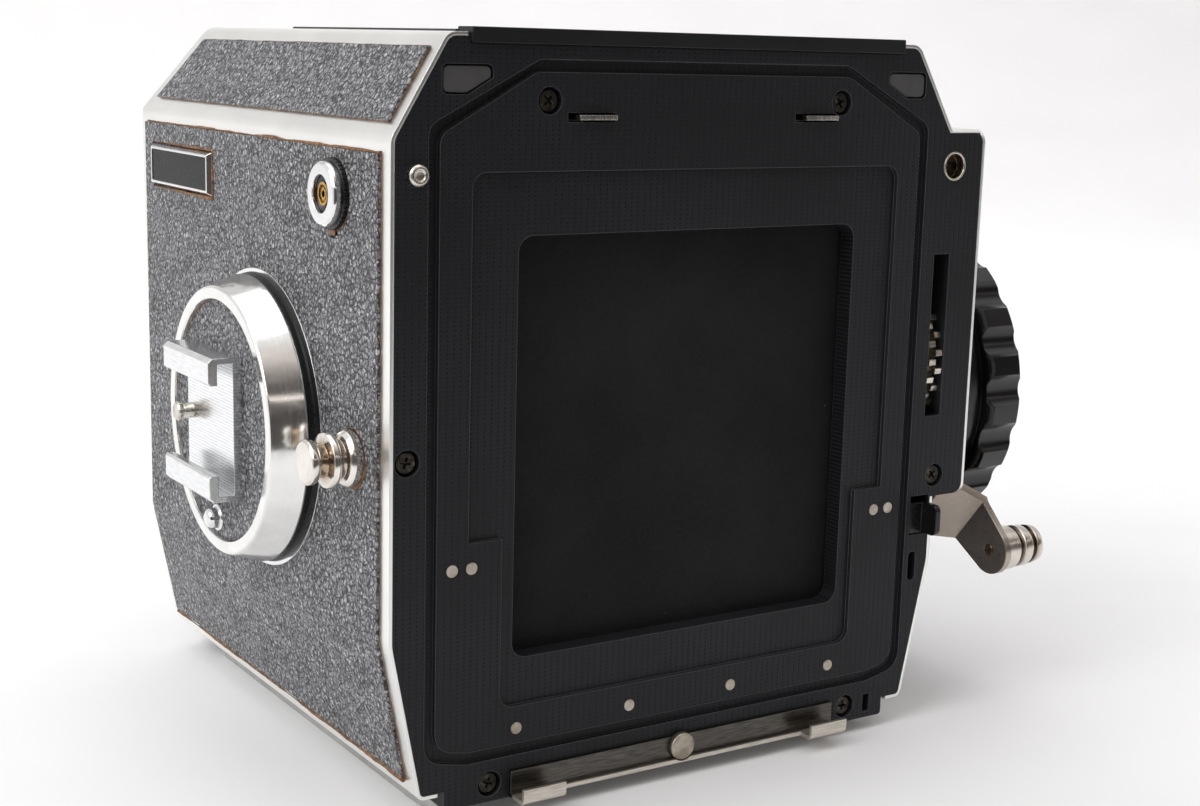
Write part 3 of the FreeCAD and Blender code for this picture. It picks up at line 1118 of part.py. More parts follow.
# Battery, upright in its open holder behind the cap
battery_low = "axis_z - battery_length / 2"
node("battery", turned("battery_body", "Z", ("battery_x", "cap_y", battery_low), [
    ("0", "0"), ("battery_r - 0.4", "0"), ("battery_r", "0.4"), ("battery_r", "battery_length - 1.4"),
    ("battery_r - 0.5", "battery_length - 1"), ("2.6", "battery_length - 1"), ("2.6", "battery_length"),
    ("0", "battery_length")]))
holder_r = "battery_r + holder_gap + holder_wall"
holder = cut(
    "battery_holder_cut",
    fuse("battery_holder_blank",
         cylinder("holder_outer", "Z", ("battery_x", "cap_y", f"{battery_low} - holder_wall"), holder_r,
                  "battery_length + 2 * holder_wall"),
         box("holder_foot", ("battery_x", "-box_half - box_wall"), ("cap_y - 4", "cap_y + 4"),
             (f"{battery_low} - holder_wall", f"{battery_low} + battery_length + holder_wall"))),
    cylinder("holder_inner", "Z", ("battery_x", "cap_y", battery_low), "battery_r + holder_gap",
        "battery_length"),
    box("holder_mouth", ("-half_width - 9", "battery_x - 2.5"), ("cap_y - 12", "cap_y + 12"),
        (f"{battery_low} - 3", f"{battery_low} + battery_length + 3")),
)
node("battery_holder", holder)

# Sync terminal
sync_at = (left_face, "sync_y", "sync_z")
sync_base = Body("sync_base_body")
sync_sketch = sync_base.sketch("profile", "XZ")
outline(sync_sketch, [("sync_core_r", "0"), ("sync_base_r", "0"), ("sync_base_r", "sync_base_t"),
    ("sync_core_r", "sync_base_t")])
sync_base.revolve("ring", sync_sketch)
knurl_sketch = sync_base.sketch("knurl", "XY", "sync_base_t")
outline(knurl_sketch, [("sync_base_r + 0.3", "-0.22"), ("sync_base_r - 0.2", "0"),
    ("sync_base_r + 0.3", "0.22")])
knurl = sync_base.pocket("knurl", knurl_sketch, "sync_base_t - leather_t")
sync_base.around("knurls", knurl, "40")
node("sync_base", sync_base.stand("-X", sync_at))
sync_collar = Body("sync_collar_body")
collar_sketch = sync_collar.sketch("profile", "XZ")
collar_top = "sync_base_t + sync_collar_t"
outline(collar_sketch, [
    ("sync_hole_r", "sync_base_t"), ("sync_r", "sync_base_t"), ("sync_r", f"{collar_top} - 0.35"),
    ("sync_r - 0.35", collar_top), ("sync_hole_r", collar_top)])
sync_collar.revolve("collar", collar_sketch)
node("sync_collar", sync_collar.stand("-X", sync_at))
node("sync_insulator", turned("sync_insulator_body", "-X", ("-half_width + 1.2", "sync_y", "sync_z"), [
    ("sync_contact_r", "0"), ("sync_core_r", "0"), ("sync_core_r", "1.2 + sync_base_t + 0.7"),
    ("sync_contact_r", "1.2 + sync_base_t + 0.7")]))
node("sync_contact", turned("sync_contact_body", "-X", ("-half_width + 1.6", "sync_y", "sync_z"), [
    ("0.45", "0"), ("sync_contact_r", "0"), ("sync_contact_r", "1.6 + sync_base_t + 0.9"),
    ("sync_contact_r - 0.35", "1.6 + sync_base_t + 0.9"),
    ("sync_contact_r - 0.35", "1.6 + sync_base_t + 0.5"),
    ("0.8", "1.6 + sync_base_t + 0.5"), ("0.8", "1.6 + sync_base_t + 0.8"),
    ("0.45", "1.6 + sync_base_t + 0.8")]))
node("sync_clip", box("sync_clip_box", ("-half_width - 0.7", "-half_width"), ("sync_y - 0.9", "sync_y + 0.9"),
                      ("sync_z - sync_base_r - 0.7", "sync_z - sync_base_r")))

# Bare badge plate: a bevelled bright frame round a plain dark field
badge = Body("badge_frame_body")
badge_sketch = badge.sketch("outline", "YZ", "-half_width")
badge_corners = [("badge_rear_y", "badge_low_z"), ("badge_rear_y", "badge_high_z"),
                 ("badge_front_y", "badge_high_z"), ("badge_front_y", "badge_low_z")]
outline(badge_sketch, badge_corners)
plate = badge.pad("plate", badge_sketch, "badge_t", True)
drive(plate, TaperAngle="-atan(badge_bevel / badge_t)")
field_y = ("badge_rear_y + badge_bevel + 0.35", "badge_front_y - badge_bevel - 0.35")
field_z = ("badge_low_z + badge_bevel + 0.35", "badge_high_z - badge_bevel - 0.35")
field_sketch = badge.sketch("field", "YZ", "-half_width - badge_t")
outline(field_sketch, [(field_y[0], field_z[0]), (field_y[0], field_z[1]), (field_y[1], field_z[1]),
    (field_y[1], field_z[0])])
badge.pocket("field", field_sketch, "0.5", True)
node("badge_frame", badge.body)
node("badge_field", box("badge_field_box", ("-half_width - badge_t + 0.15",
    "-half_width - badge_t + 0.5"), field_y, field_z))


def stud(name, axis, at):
    """A strap stud: flange, neck, disc, neck and head."""
    return turned(name, axis, at, [
        ("0", "0"), ("3.8", "0"), ("3.8", "1.6"), ("3.3", "2.2"), ("2.6", "2.3"), ("2.6", "3.3"),
        ("3.5", "3.4"), ("3.8", "3.8"), ("3.6", "4.5"), ("2.2", "4.7"), ("2.2", "5.9"), ("2.8", "6.0"),
        ("3.0", "6.3"), ("3.0", "7.0"), ("2.7", "7.3"), ("0", "7.4")])


node("strap_studs", group("strap_studs", [
    stud("left_stud_body", "-X", ("-half_width", "stud_y", "stud_z")),
    stud("right_stud_body", "X", ("half_width", "right_stud_y", "right_stud_z"))]))

# Covering panels on the sides and the top slopes
cover_blank = cut("cover_blank", common("cover_outer", cover_prism, front_view), outer_prism)


def panel(name, x, y, z):
    return common(name, cover_blank, box(name + "_span", x, y, z))


left_x = ("-half_width - 5", "-trim_half - 2")
right_x = ("trim_half + 2", "half_width + 5")
side_y = ("panel_rear_y", "panel_front_y")
side_z = ("panel_low_z", "panel_top_z")
left_holes = [
    cylinder("cap_window", "X", ("-half_width - 3", "cap_y", "axis_z"), "rim_r + seam", "6"),
    cylinder("sync_window", "X", ("-half_width - 3", "sync_y", "sync_z"), "sync_base_r + seam", "6"),
    cylinder("stud_window", "X", ("-half_width - 3", "stud_y", "stud_z"), "4", "6"),
    box("clip_window", ("-half_width - 3", "-half_width + 3"), ("sync_y - 1.1", "sync_y + 1.1"),
        ("sync_z - sync_base_r - 1.1", "sync_z")),
    box("badge_window", ("-half_width - 3", "-half_width + 3"), ("badge_rear_y", "badge_front_y"),
        ("badge_low_z", "badge_high_z")),
]
node("left_covering", cut("left_covering_cut", panel("left_panel", left_x, side_y, side_z), *left_holes))
right_holes = [
    box("housing_window", ("half_width - 3", "half_width + 3"), ("rear_y - 1", "housing_front_y + 0.3"),
        ("housing_low_z - 0.3", "housing_high_z + 1")),
    cylinder("boss_window", "X", ("half_width - 3", "dial_y", "axis_z"), "boss_r + 0.3", "6"),
    cylinder("right_stud_window", "X", ("half_width - 3", "right_stud_y", "right_stud_z"), "4", "6"),
]
node("right_covering", cut("right_covering_cut", panel("right_panel", right_x, side_y, side_z),
    *right_holes))
slope_view = side_view("slope_view", "slope_panel_margin")
slope_z = ("slope_panel_low_z", "slope_panel_high_z")
slope_strips = []
for word, x in (("left", left_x), ("right", right_x)):
    strip = panel(f"{word}_slope_panel", x, ("panel_rear_y - 0.3", "front_y"), slope_z)
    slope_strips.append(common(f"{word}_slope_covering", strip, slope_view))
node("slope_coverings", group("slope_coverings", slope_strips))

# Right side: gear housing, bridge and gears
dial_at = ("dial_y", "axis_z")
housing_blank = fuse(
    "housing_blank",
    prism("housing_box", "YZ", [
        ("rear_y", "housing_low_z", "housing_r"), ("rear_y", "housing_high_z", "housing_r"),
        ("housing_front_y", "housing_high_z", "housing_r"),
        ("housing_front_y", "housing_low_z", "housing_r")],
        "half_width", "housing_x"),
    cylinder("housing_boss", "X", ("half_width", *dial_at), "boss_r", "housing_x - half_width"),
)
housing = cut(
    "gear_housing_cut", housing_blank,
    box("housing_space", ("half_width - 1", "housing_x - 0.6"),
        ("rear_y + plate_t", "housing_front_y - 2"),
        ("housing_low_z + 2", "housing_high_z - 2")),
    box("housing_tab_space", ("half_width - 1", "tab_x"), ("rear_y - 1", "rear_y + plate_t + 0.1"),
        ("tab_low_z", "tab_high_z")),
    cylinder("boss_space", "X", ("half_width - 1", *dial_at), "boss_r - 1",
        "housing_x - half_width + 0.4"),
    cylinder("sleeve_hole", "X", ("half_width - 5", *dial_at), "sleeve_r + run_gap", "20"),
)
node("gear_housing", housing)

gear_distance = "gear_module * (film_teeth + wind_teeth) / 2"
film_y = f"dial_y + {gear_distance} * cos(mesh_angle * 1 deg)"
film_z = f"axis_z + {gear_distance} * sin(mesh_angle * 1 deg)"
bridge_posts = [
    cylinder(f"bridge_post_{n}", "X", ("box_half + box_wall", y, z), "2",
        "bridge_x - box_half - box_wall")
    for n, (y, z) in enumerate((("-30", "74"), ("8", "74"), ("8", "30")))
]
bridge = cut(
    "gear_bridge_cut",
    fuse("gear_bridge_blank",
         box("bridge_sheet", ("bridge_x", "bridge_x + bridge_t"), (chamber_front, "dial_y + 25"),
             ("26", "77")), *bridge_posts),
    cylinder("bridge_sleeve_hole", "X", ("bridge_x - 1", *dial_at), "sleeve_r + run_gap", "5"),
    cylinder("bridge_shaft_hole", "X", ("bridge_x - 1", film_y, film_z), "film_shaft_r + run_gap", "5"),
)
node("gear_bridge", bridge)


def gear(name, teeth, bore, start, width, shift):
    """A spur gear round its own Z with straight-sided gaps; shift turns it by part of a tooth."""
    blank = Body(name)
    tip_r = f"gear_module * ({teeth} / 2 + 0.85)"
    root_r = f"gear_module * ({teeth} / 2 - 1.1)"
    rim = blank.sketch("rim", "XY", start)
    circle(rim, "0", "0", tip_r)
    circle(rim, "0", "0", bore)
    blank.pad("rim", rim, width)
    gap = blank.sketch("gap", "XY", f"{start} + {width}")
    turn = 360 / size(teeth) * shift
    outer = f"({tip_r} + 0.3)"
    wide = "gear_module * 1.3"
    narrow = "gear_module * 0.5"
    corners = [(outer, f"-{wide}"), (root_r, f"-{narrow}"), (root_r, narrow), (outer, wide)]
    points = [(f"({x}) * cos({turn} deg) - ({y}) * sin({turn} deg)",
        f"({x}) * sin({turn} deg) + ({y}) * cos({turn} deg)")
              for x, y in corners]
    outline(gap, points)
    notch = blank.pocket("gap", gap, width)
    blank.around("gaps", notch, teeth)
    return blank


mesh_turn = size("mesh_angle")
film_turn = FreeCAD.Rotation(V(1, 0, 0), mesh_turn + 180) * PLANES["YZ"][0]
film_gear = gear("inner_film_gear", "film_teeth", "film_shaft_r", "0", "gear_w", 0)
place(film_gear.body, "gear_x", film_y, film_z, film_turn)
outer_film_gear = gear("outer_film_gear", "film_teeth", "film_shaft_r", "gear_w", "gear_w", 0.5)
place(outer_film_gear.body, "gear_x", film_y, film_z, film_turn)
film_shaft = cylinder("film_shaft", "X", ("bridge_x", film_y, film_z), "film_shaft_r",
    "housing_x - 0.65 - bridge_x")
node("transport_gear", fuse("transport_gear_fuse", film_gear.body, outer_film_gear.body, film_shaft))
wind_gear = gear("wind_gear", "wind_teeth", "sleeve_r", "0", "gear_w - 0.1", 0.5)
place(wind_gear.body, "gear_x", *dial_at, FreeCAD.Rotation(V(1, 0, 0), mesh_turn) * PLANES["YZ"][0])
sleeve = turned("wind_sleeve_body", "X", ("bridge_x", *dial_at), [
    ("spindle_r + run_gap", "0"), ("sleeve_r", "0"), ("sleeve_r", "crank_x - bridge_x"),
    ("spindle_r + run_gap", "crank_x - bridge_x")])
node("wind_sleeve", fuse("wind_sleeve_fuse", sleeve, wind_gear.body))


# Crank: a disc on the sleeve, an arm that bends out and a lifted end
def along_crank(along, across):
    """A point of the crank in the side view, from its distance along and across the arm."""
    angle = size("crank_angle")
    y = f"dial_y - ({along}) * cos({angle} deg) - ({across}) * sin({angle} deg)"
    z = f"axis_z - ({along}) * sin({angle} deg) + ({across}) * cos({angle} deg)"
    return y, z


def crank_bend():
    """The bent sheet of the arm: its section along the arm, thickened across it."""
    angle = math.radians(size("crank_angle"))
    out = V(0, -math.cos(angle), -math.sin(angle))
    across = out.cross(V(1, 0, 0))
    section = doc.addObject("Sketcher::SketchObject", "crank_section")
    section.Placement = FreeCAD.Placement(V(0, 0, 0), FreeCAD.Rotation(out, V(1, 0, 0), across, "XYZ"))
    tip = "crank_length + crank_end_r + 1"
    lean = "0.55 * crank_t"
    outline(section, [
        ("0", "crank_x"), ("crank_start", "crank_x"), ("crank_fold", "crank_lift_x"),
        (tip, "crank_lift_x"),
        (tip, "crank_lift_x + crank_t"), (f"crank_fold - {lean}", "crank_lift_x + crank_t"),
        (f"crank_start - {lean}", "crank_x + crank_t"), ("0", "crank_x + crank_t")])
    section.setExpression("Placement.Base.y", link(f"dial_y - crank_disc_r * {across.y}"))
    section.setExpression("Placement.Base.z", link(f"axis_z - crank_disc_r * {across.z}"))
    return thicken("crank_bend", section, across, "2 * crank_disc_r")


disc = cylinder("crank_disc", "X", ("crank_x", *dial_at), "crank_disc_r", "crank_t")
end_y, end_z = along_crank("crank_length", "0")
plan_corners = [("crank_disc_r * 0.6", "crank_disc_r * 0.7"), ("crank_start", "crank_root_half"),
                ("crank_fold", "crank_fold_half"), ("crank_length", "crank_end_r")]
plan_corners += [(along, f"-{half}") for along, half in reversed(plan_corners)]
plan_x = ("crank_x - 1", "crank_lift_x + crank_t + 1")
crank_plan = fuse(
    "crank_plan", prism("crank_plan_sheet", "YZ", [along_crank(*corner) for corner in plan_corners],
    *plan_x),
    cylinder("crank_plan_end", "X", (plan_x[0], end_y, end_z), "crank_end_r",
        f"{plan_x[1]} - ({plan_x[0]})"))
crank_blank = fuse("crank_blank", disc, common("crank_sheet", crank_bend(), crank_plan))
node("crank_arm", cut(
    "crank_arm_cut", crank_blank,
    cylinder("crank_bore", "X", ("crank_x - 1", *dial_at), "spindle_r + run_gap", "4"),
    cylinder("crank_pin_hole", "X", ("crank_lift_x - 1", end_y, end_z), "grip_pin_r", "4")))
node("grip_pin", turned("grip_pin_body", "X", ("crank_lift_x - 0.15", end_y, end_z), [
    ("0", "0"), ("grip_pin_r - 0.15", "0"), ("grip_pin_r", "0.15"),
    ("grip_pin_r", "crank_t + 0.15 + grip_length - 0.7"), ("0", "crank_t + 0.15 + grip_length - 0.7")]))
grip_step = "grip_length / 10"
node("crank_grip", turned("crank_grip_body", "X", ("crank_lift_x + crank_t + 0.15", end_y, end_z), [
    ("grip_pin_r + run_gap", "0"), ("grip_r - 0.2", "0"), ("grip_r", "0.2"),
    ("grip_r", f"3 * {grip_step}"),
    ("grip_r - 0.7", f"3.3 * {grip_step}"), ("grip_r - 0.7", f"4.4 * {grip_step}"),
    ("grip_r - 0.15", f"4.7 * {grip_step}"),
    ("grip_r - 0.2", f"6.6 * {grip_step}"), ("grip_r - 0.9", f"6.9 * {grip_step}"),
    ("grip_r - 0.9", f"7.8 * {grip_step}"),
    ("grip_r - 0.35", f"8.1 * {grip_step}"), ("grip_r - 0.5", f"9.4 * {grip_step}"),
    ("grip_r - 1", "grip_length"),
    ("0", "grip_length"), ("0", "grip_length - 0.6"), ("grip_pin_r + run_gap", "grip_length - 0.6")]))

# Shutter speed dial: skirt, lobed rim and spindle in one piece
dial = Body("speed_dial_body")
dial_sketch = dial.sketch("profile", "XZ")
rim_low = "dial_x - dial_rim"
spindle_end = "box_half + 0.9"
outline(dial_sketch, [
    ("0", spindle_end), ("spindle_r - 1", spindle_end), ("spindle_r - 1", "box_half + box_wall + 0.1"),
    ("spindle_r", "box_half + box_wall + 0.1"), ("spindle_r", "dial_x - dial_wall - 2"),
    ("skirt_r - dial_wall", "dial_x - dial_wall - 2"), ("skirt_r - dial_wall", "skirt_x"),
    ("skirt_r - 0.3", "skirt_x"),
    ("skirt_r", "skirt_x + 0.3"), ("skirt_r", rim_low), ("dial_r - 1.2", rim_low),
    ("dial_r", f"{rim_low} + 0.9"),
    ("dial_r", "dial_x - 0.8"), ("dial_r - 0.8", "dial_x"), ("skirt_r - 1", "dial_x"),
    ("skirt_r - 1.6", "dial_x - 0.6"),
    ("0", "dial_x - 0.6")])
dial.revolve("turning", dial_sketch)
notch_sketch = dial.sketch("notch", "XY", "dial_x + 1")
notch_turn = 180 / size("dial_lobes") + size("dial_phase") - 180
notch_reach = "(dial_r - dial_notch + scallop_r)"
circle(notch_sketch, f"{notch_reach} * cos({notch_turn} deg)", f"{notch_reach} * sin({notch_turn} deg)",
       "scallop_r")
notch = dial.pocket("notch", notch_sketch, "dial_rim + 0.99")
dial.around("notches", notch, "dial_lobes")
place(dial.body, "0", "dial_y", "axis_z", PLANES["YZ"][0])
node("speed_dial", dial.body)


# Checks before anything is written
def check_features():
    for thing in doc.Objects:
        if "Invalid" in thing.State or "Error" in thing.State:
            raise RuntimeError(f"{thing.Name} failed: {thing.State}")
        if thing.TypeId in ("PartDesign::Pocket", "PartDesign::PolarPattern") and thing.BaseFeature:
            if thing.Shape.Volume >= thing.BaseFeature.Shape.Volume - 1e-6:
                raise RuntimeError(f"{thing.Name} removes nothing")
    for name, piece in NODES.items():
        if piece.Shape.isNull() or not piece.Shape.isValid() or not piece.Shape.Solids:
            raise RuntimeError(f"{name} has no valid solid")


doc.recompute()
check_features()
os.makedirs("parts", exist_ok=True)
for name, piece in NODES.items():
    piece.Shape.exportStep(f"parts/{name}.step")
print(len(NODES), "nodes written")
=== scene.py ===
import json
import math

import bmesh
import bpy
from mathutils import Matrix, Vector


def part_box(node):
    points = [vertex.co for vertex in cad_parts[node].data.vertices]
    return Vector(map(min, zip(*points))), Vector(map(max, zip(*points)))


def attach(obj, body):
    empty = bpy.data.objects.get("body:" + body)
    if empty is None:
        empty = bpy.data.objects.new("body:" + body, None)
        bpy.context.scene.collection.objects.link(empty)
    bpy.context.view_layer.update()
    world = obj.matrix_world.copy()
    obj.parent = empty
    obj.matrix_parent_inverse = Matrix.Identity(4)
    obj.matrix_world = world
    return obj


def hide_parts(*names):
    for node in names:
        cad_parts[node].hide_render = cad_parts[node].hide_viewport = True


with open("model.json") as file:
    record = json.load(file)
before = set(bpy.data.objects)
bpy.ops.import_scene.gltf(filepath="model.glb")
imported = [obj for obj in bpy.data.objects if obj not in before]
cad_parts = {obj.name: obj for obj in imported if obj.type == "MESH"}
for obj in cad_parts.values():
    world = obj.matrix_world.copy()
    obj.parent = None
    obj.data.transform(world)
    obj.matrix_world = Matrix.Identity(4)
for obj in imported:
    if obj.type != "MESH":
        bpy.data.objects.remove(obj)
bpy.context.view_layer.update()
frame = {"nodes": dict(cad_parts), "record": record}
nodes = frame["nodes"]
record = frame["record"]
MM = 0.001


def middle(node):
    """The middle of a node's box."""
    low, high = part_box(node)
    return (low + high) / 2


# Faces and axes that several pieces share, in metres
LEFT_X, REAR_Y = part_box("left_shell")[0].xy
CAP_AXIS = Vector((LEFT_X, *middle("battery_cap").yz))
SYNC_AXIS = Vector((LEFT_X, *middle("sync_base").yz))
STUD_AXIS = Vector((LEFT_X, -35 * MM, 49.3 * MM))
RING_AXIS = Vector((middle("locating_ring").x, REAR_Y, middle("locating_ring").z))
DIAL_AXIS = Vector((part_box("crank_arm")[0].x, *middle("speed_dial").yz))
GRIP_AXIS = Vector((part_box("crank_arm")[1].x, *middle("crank_grip").yz))
LENS_AXIS = Vector((0, 0, middle("lens_mount").z))


def colour(code):
    """An sRGB hex value as linear RGBA."""
    parts = [int(code[i:i + 2], 16) / 255 for i in (1, 3, 5)]
    return tuple(c / 12.92 if c <= 0.04045 else ((c + 0.055) / 1.055) ** 2.4 for c in parts) + (1.0,)


def stand_camera():
    """The photographer's camera, fitted to the photograph."""
    lens = bpy.data.cameras.new("photographer")
    lens.sensor_fit = "HORIZONTAL"
    lens.sensor_width = 36.0
    lens.lens = 55.338
    lens.clip_start = 0.01
    lens.clip_end = 20
    eye = bpy.data.objects.new("photographer", lens)
    right = Vector((0.8408844, -0.54059109, 0.02597492))
    down = Vector((-0.08106504, -0.17325778, -0.98153462))
    ahead = Vector((0.53510922, 0.82325149, -0.1895128))
    eye.matrix_world = Matrix.Translation((-0.1478992, -0.24928734, 0.10272897)) @ Matrix(
        (right, -down, -ahead)).transposed().to_4x4()
    bpy.context.scene.collection.objects.link(eye)
    bpy.context.scene.camera = eye


# Node trees
def wire(tree, node, inputs):
    """Sets a node's inputs; each is a value, another node or one of its outputs."""
    for name, value in inputs.items():
        socket = node.inputs[name] if isinstance(name, int) else next(
            s for s in node.inputs if s.name == name and s.enabled)
        if isinstance(value, bpy.types.Node):
            value = next(s for s in value.outputs if s.enabled)
        if isinstance(value, bpy.types.NodeSocket):
            tree.links.new(value, socket)
        else:
            socket.default_value = value


def add(tree, kind, inputs=None, stops=(), **settings):
    """Adds a node with its settings and links; stops are the places and colours of a ramp."""
    node = tree.nodes.new(kind)
    for name, value in settings.items():
        setattr(node, name, value)
    for number, (place, code) in enumerate(stops):
        elements = node.color_ramp.elements
        stop = elements[number] if number < 2 else elements.new(place)
        stop.position = place
        stop.color = colour(code)
    wire(tree, node, inputs or {})
    return node


def start(name):
    """A new material, its tree, its surface shader and the piece's own coordinates."""
    material = bpy.data.materials.new(name)
    material.use_nodes = True
    tree = material.node_tree
    return material, tree, tree.nodes["Principled BSDF"], add(tree, "ShaderNodeTexCoord").outputs["Object"]


# Coverings, cloth and glue
def grained_leather():
    """Boarded calf leather, dyed black and greyed by age, with a fine pebbled grain; painted shade darkens
    its creases, and a painted highlight lightens the grain where it stands highest.
    """
    material, tree, shader, place = start("boarded_calf_leather")
    wander = add(tree, "ShaderNodeTexNoise", {"Vector": place, "Scale": 1 / (0.9 * MM), "Detail": 2.0})
    shift = add(tree, "ShaderNodeVectorMath", {0: wander.outputs["Color"], "Scale": 0.7 * MM},
                operation="SCALE")
    moved = add(tree, "ShaderNodeVectorMath", {0: place, 1: shift}, operation="ADD")
    # The fine grain, 0.62 mm across
    grain = add(tree, "ShaderNodeTexNoise", {"Vector": moved, "Scale": 1 / (0.62 * MM), "Detail": 3.0,
                                             "Roughness": 0.62})
    # Creases round pebbles of 0.85 mm, wider in some places
    pebble = add(tree, "ShaderNodeTexVoronoi", {"Vector": moved, "Scale": 1 / (0.85 * MM)},
                 feature="DISTANCE_TO_EDGE")
    patch = add(tree, "ShaderNodeTexNoise", {"Vector": place, "Scale": 1 / (3.5 * MM), "Detail": 4.0})
    width = add(tree, "ShaderNodeMapRange", {"Value": patch, "From Min": 0.36, "From Max": 0.64,
                                             "To Min": 0.09, "To Max": 0.18})
    core = add(tree, "ShaderNodeMath", {0: width, 1: 0.3}, operation="MULTIPLY")
    crease = add(tree, "ShaderNodeMapRange", {"Value": pebble, "From Min": core, "From Max": width})
    # The grain's colour: its own uneven tone, and a painted highlight, lighter where the same noise raises
    # the grain and darker where it sinks
    shade = add(tree, "ShaderNodeValToRGB", {"Fac": grain}, stops=[
        (0.32, "#44454a"), (0.42, "#68696d"), (0.55, "#87888c"), (0.67, "#c6c7cb")])
    # Painted shade: the creases are darkened to a tenth of the grain's colour
    painted_crease_shade = add(tree, "ShaderNodeMapRange", {"Value": crease, "To Min": 0.1})
    tone_and_painted_light = add(tree, "ShaderNodeVectorMath", {0: shade, "Scale": painted_crease_shade}, operation="SCALE")
    gloss = add(tree, "ShaderNodeMapRange", {"Value": grain, "From Min": 0.35, "From Max": 0.65,
                                             "To Min": 0.6, "To Max": 0.36})
    low = add(tree, "ShaderNodeMath", {0: crease, 1: 0.5}, operation="MULTIPLY")
    height = add(tree, "ShaderNodeMath", {0: low, 1: grain}, operation="ADD")
    relief = add(tree, "ShaderNodeBump", {"Height": height, "Distance": 0.26 * MM})
    wire(tree, shader, {"Base Color": tone_and_painted_light, "Roughness": gloss, "Normal": relief, "Specular IOR Level": 0.6})
    return material


def shutter_cloth():
    """Rubberised silk: a plain weave, drawn coarser than its 0.1 mm threads, dulled by the rubber."""
    material, tree, shader, place = start("rubberised_silk")
    axes = add(tree, "ShaderNodeSeparateXYZ", {"Vector": place})
    step = math.tau / (0.42 * MM)
    warp_turn = add(tree, "ShaderNodeMath", {0: axes.outputs["X"], 1: step}, operation="MULTIPLY")
    warp = add(tree, "ShaderNodeMath", {0: warp_turn}, operation="SINE")
    weft_turn = add(tree, "ShaderNodeMath", {0: axes.outputs["Z"], 1: step}, operation="MULTIPLY")
    weft = add(tree, "ShaderNodeMath", {0: weft_turn}, operation="SINE")
    weave = add(tree, "ShaderNodeMath", {0: warp, 1: weft}, operation="MULTIPLY")
    nap = add(tree, "ShaderNodeTexNoise", {"Vector": place, "Scale": 1 / (0.5 * MM), "Detail": 5.0,
                                           "Roughness": 0.7})
    soft_weave = add(tree, "ShaderNodeMath", {0: weave, 1: 0.25}, operation="MULTIPLY")
    height = add(tree, "ShaderNodeMath", {0: soft_weave, 1: nap}, operation="ADD")
    patch = add(tree, "ShaderNodeTexNoise", {"Vector": place, "Scale": 1 / (16 * MM), "Detail": 4.0})
    blend = add(tree, "ShaderNodeMix", {"Factor": 0.45, "A": nap, "B": patch})
    shade = add(tree, "ShaderNodeValToRGB", {"Fac": blend}, stops=[(0.35, "#161617"), (0.65, "#272728")])
    # A few grey specks of dust
    dust = add(tree, "ShaderNodeTexVoronoi", {"Vector": place, "Scale": 1 / (7 * MM)})
    speck = add(tree, "ShaderNodeMapRange", {"Value": dust, "From Min": 0.012, "From Max": 0.02,
                                             "To Min": 1.0, "To Max": 0.0})
    dusty = add(tree, "ShaderNodeMix", {"Factor": speck, "A": shade, "B": colour("#77777a")},
                data_type="RGBA")
    relief = add(tree, "ShaderNodeBump", {"Height": height, "Distance": 0.05 * MM})
    wire(tree, shader, {"Base Color": dusty, "Roughness": 0.85, "Specular IOR Level": 0.2, "Normal": relief})
    return material


def old_glue():
    """Hide glue that has aged to an orange brown, with dust in it."""
    material, tree, shader, place = start("aged_hide_glue")
    lumps = add(tree, "ShaderNodeTexNoise", {"Vector": place, "Scale": 1 / (0.9 * MM), "Detail": 5.0,
                                             "Roughness": 0.7})
    shade = add(tree, "ShaderNodeValToRGB", {"Fac": lumps}, stops=[
        (0.3, "#33241a"), (0.5, "#77502c"), (0.7, "#ae8450")])
    relief = add(tree, "ShaderNodeBump", {"Height": lumps, "Distance": 0.12 * MM})
    wire(tree, shader, {"Base Color": shade, "Roughness": 0.55, "Normal": relief})
    return material


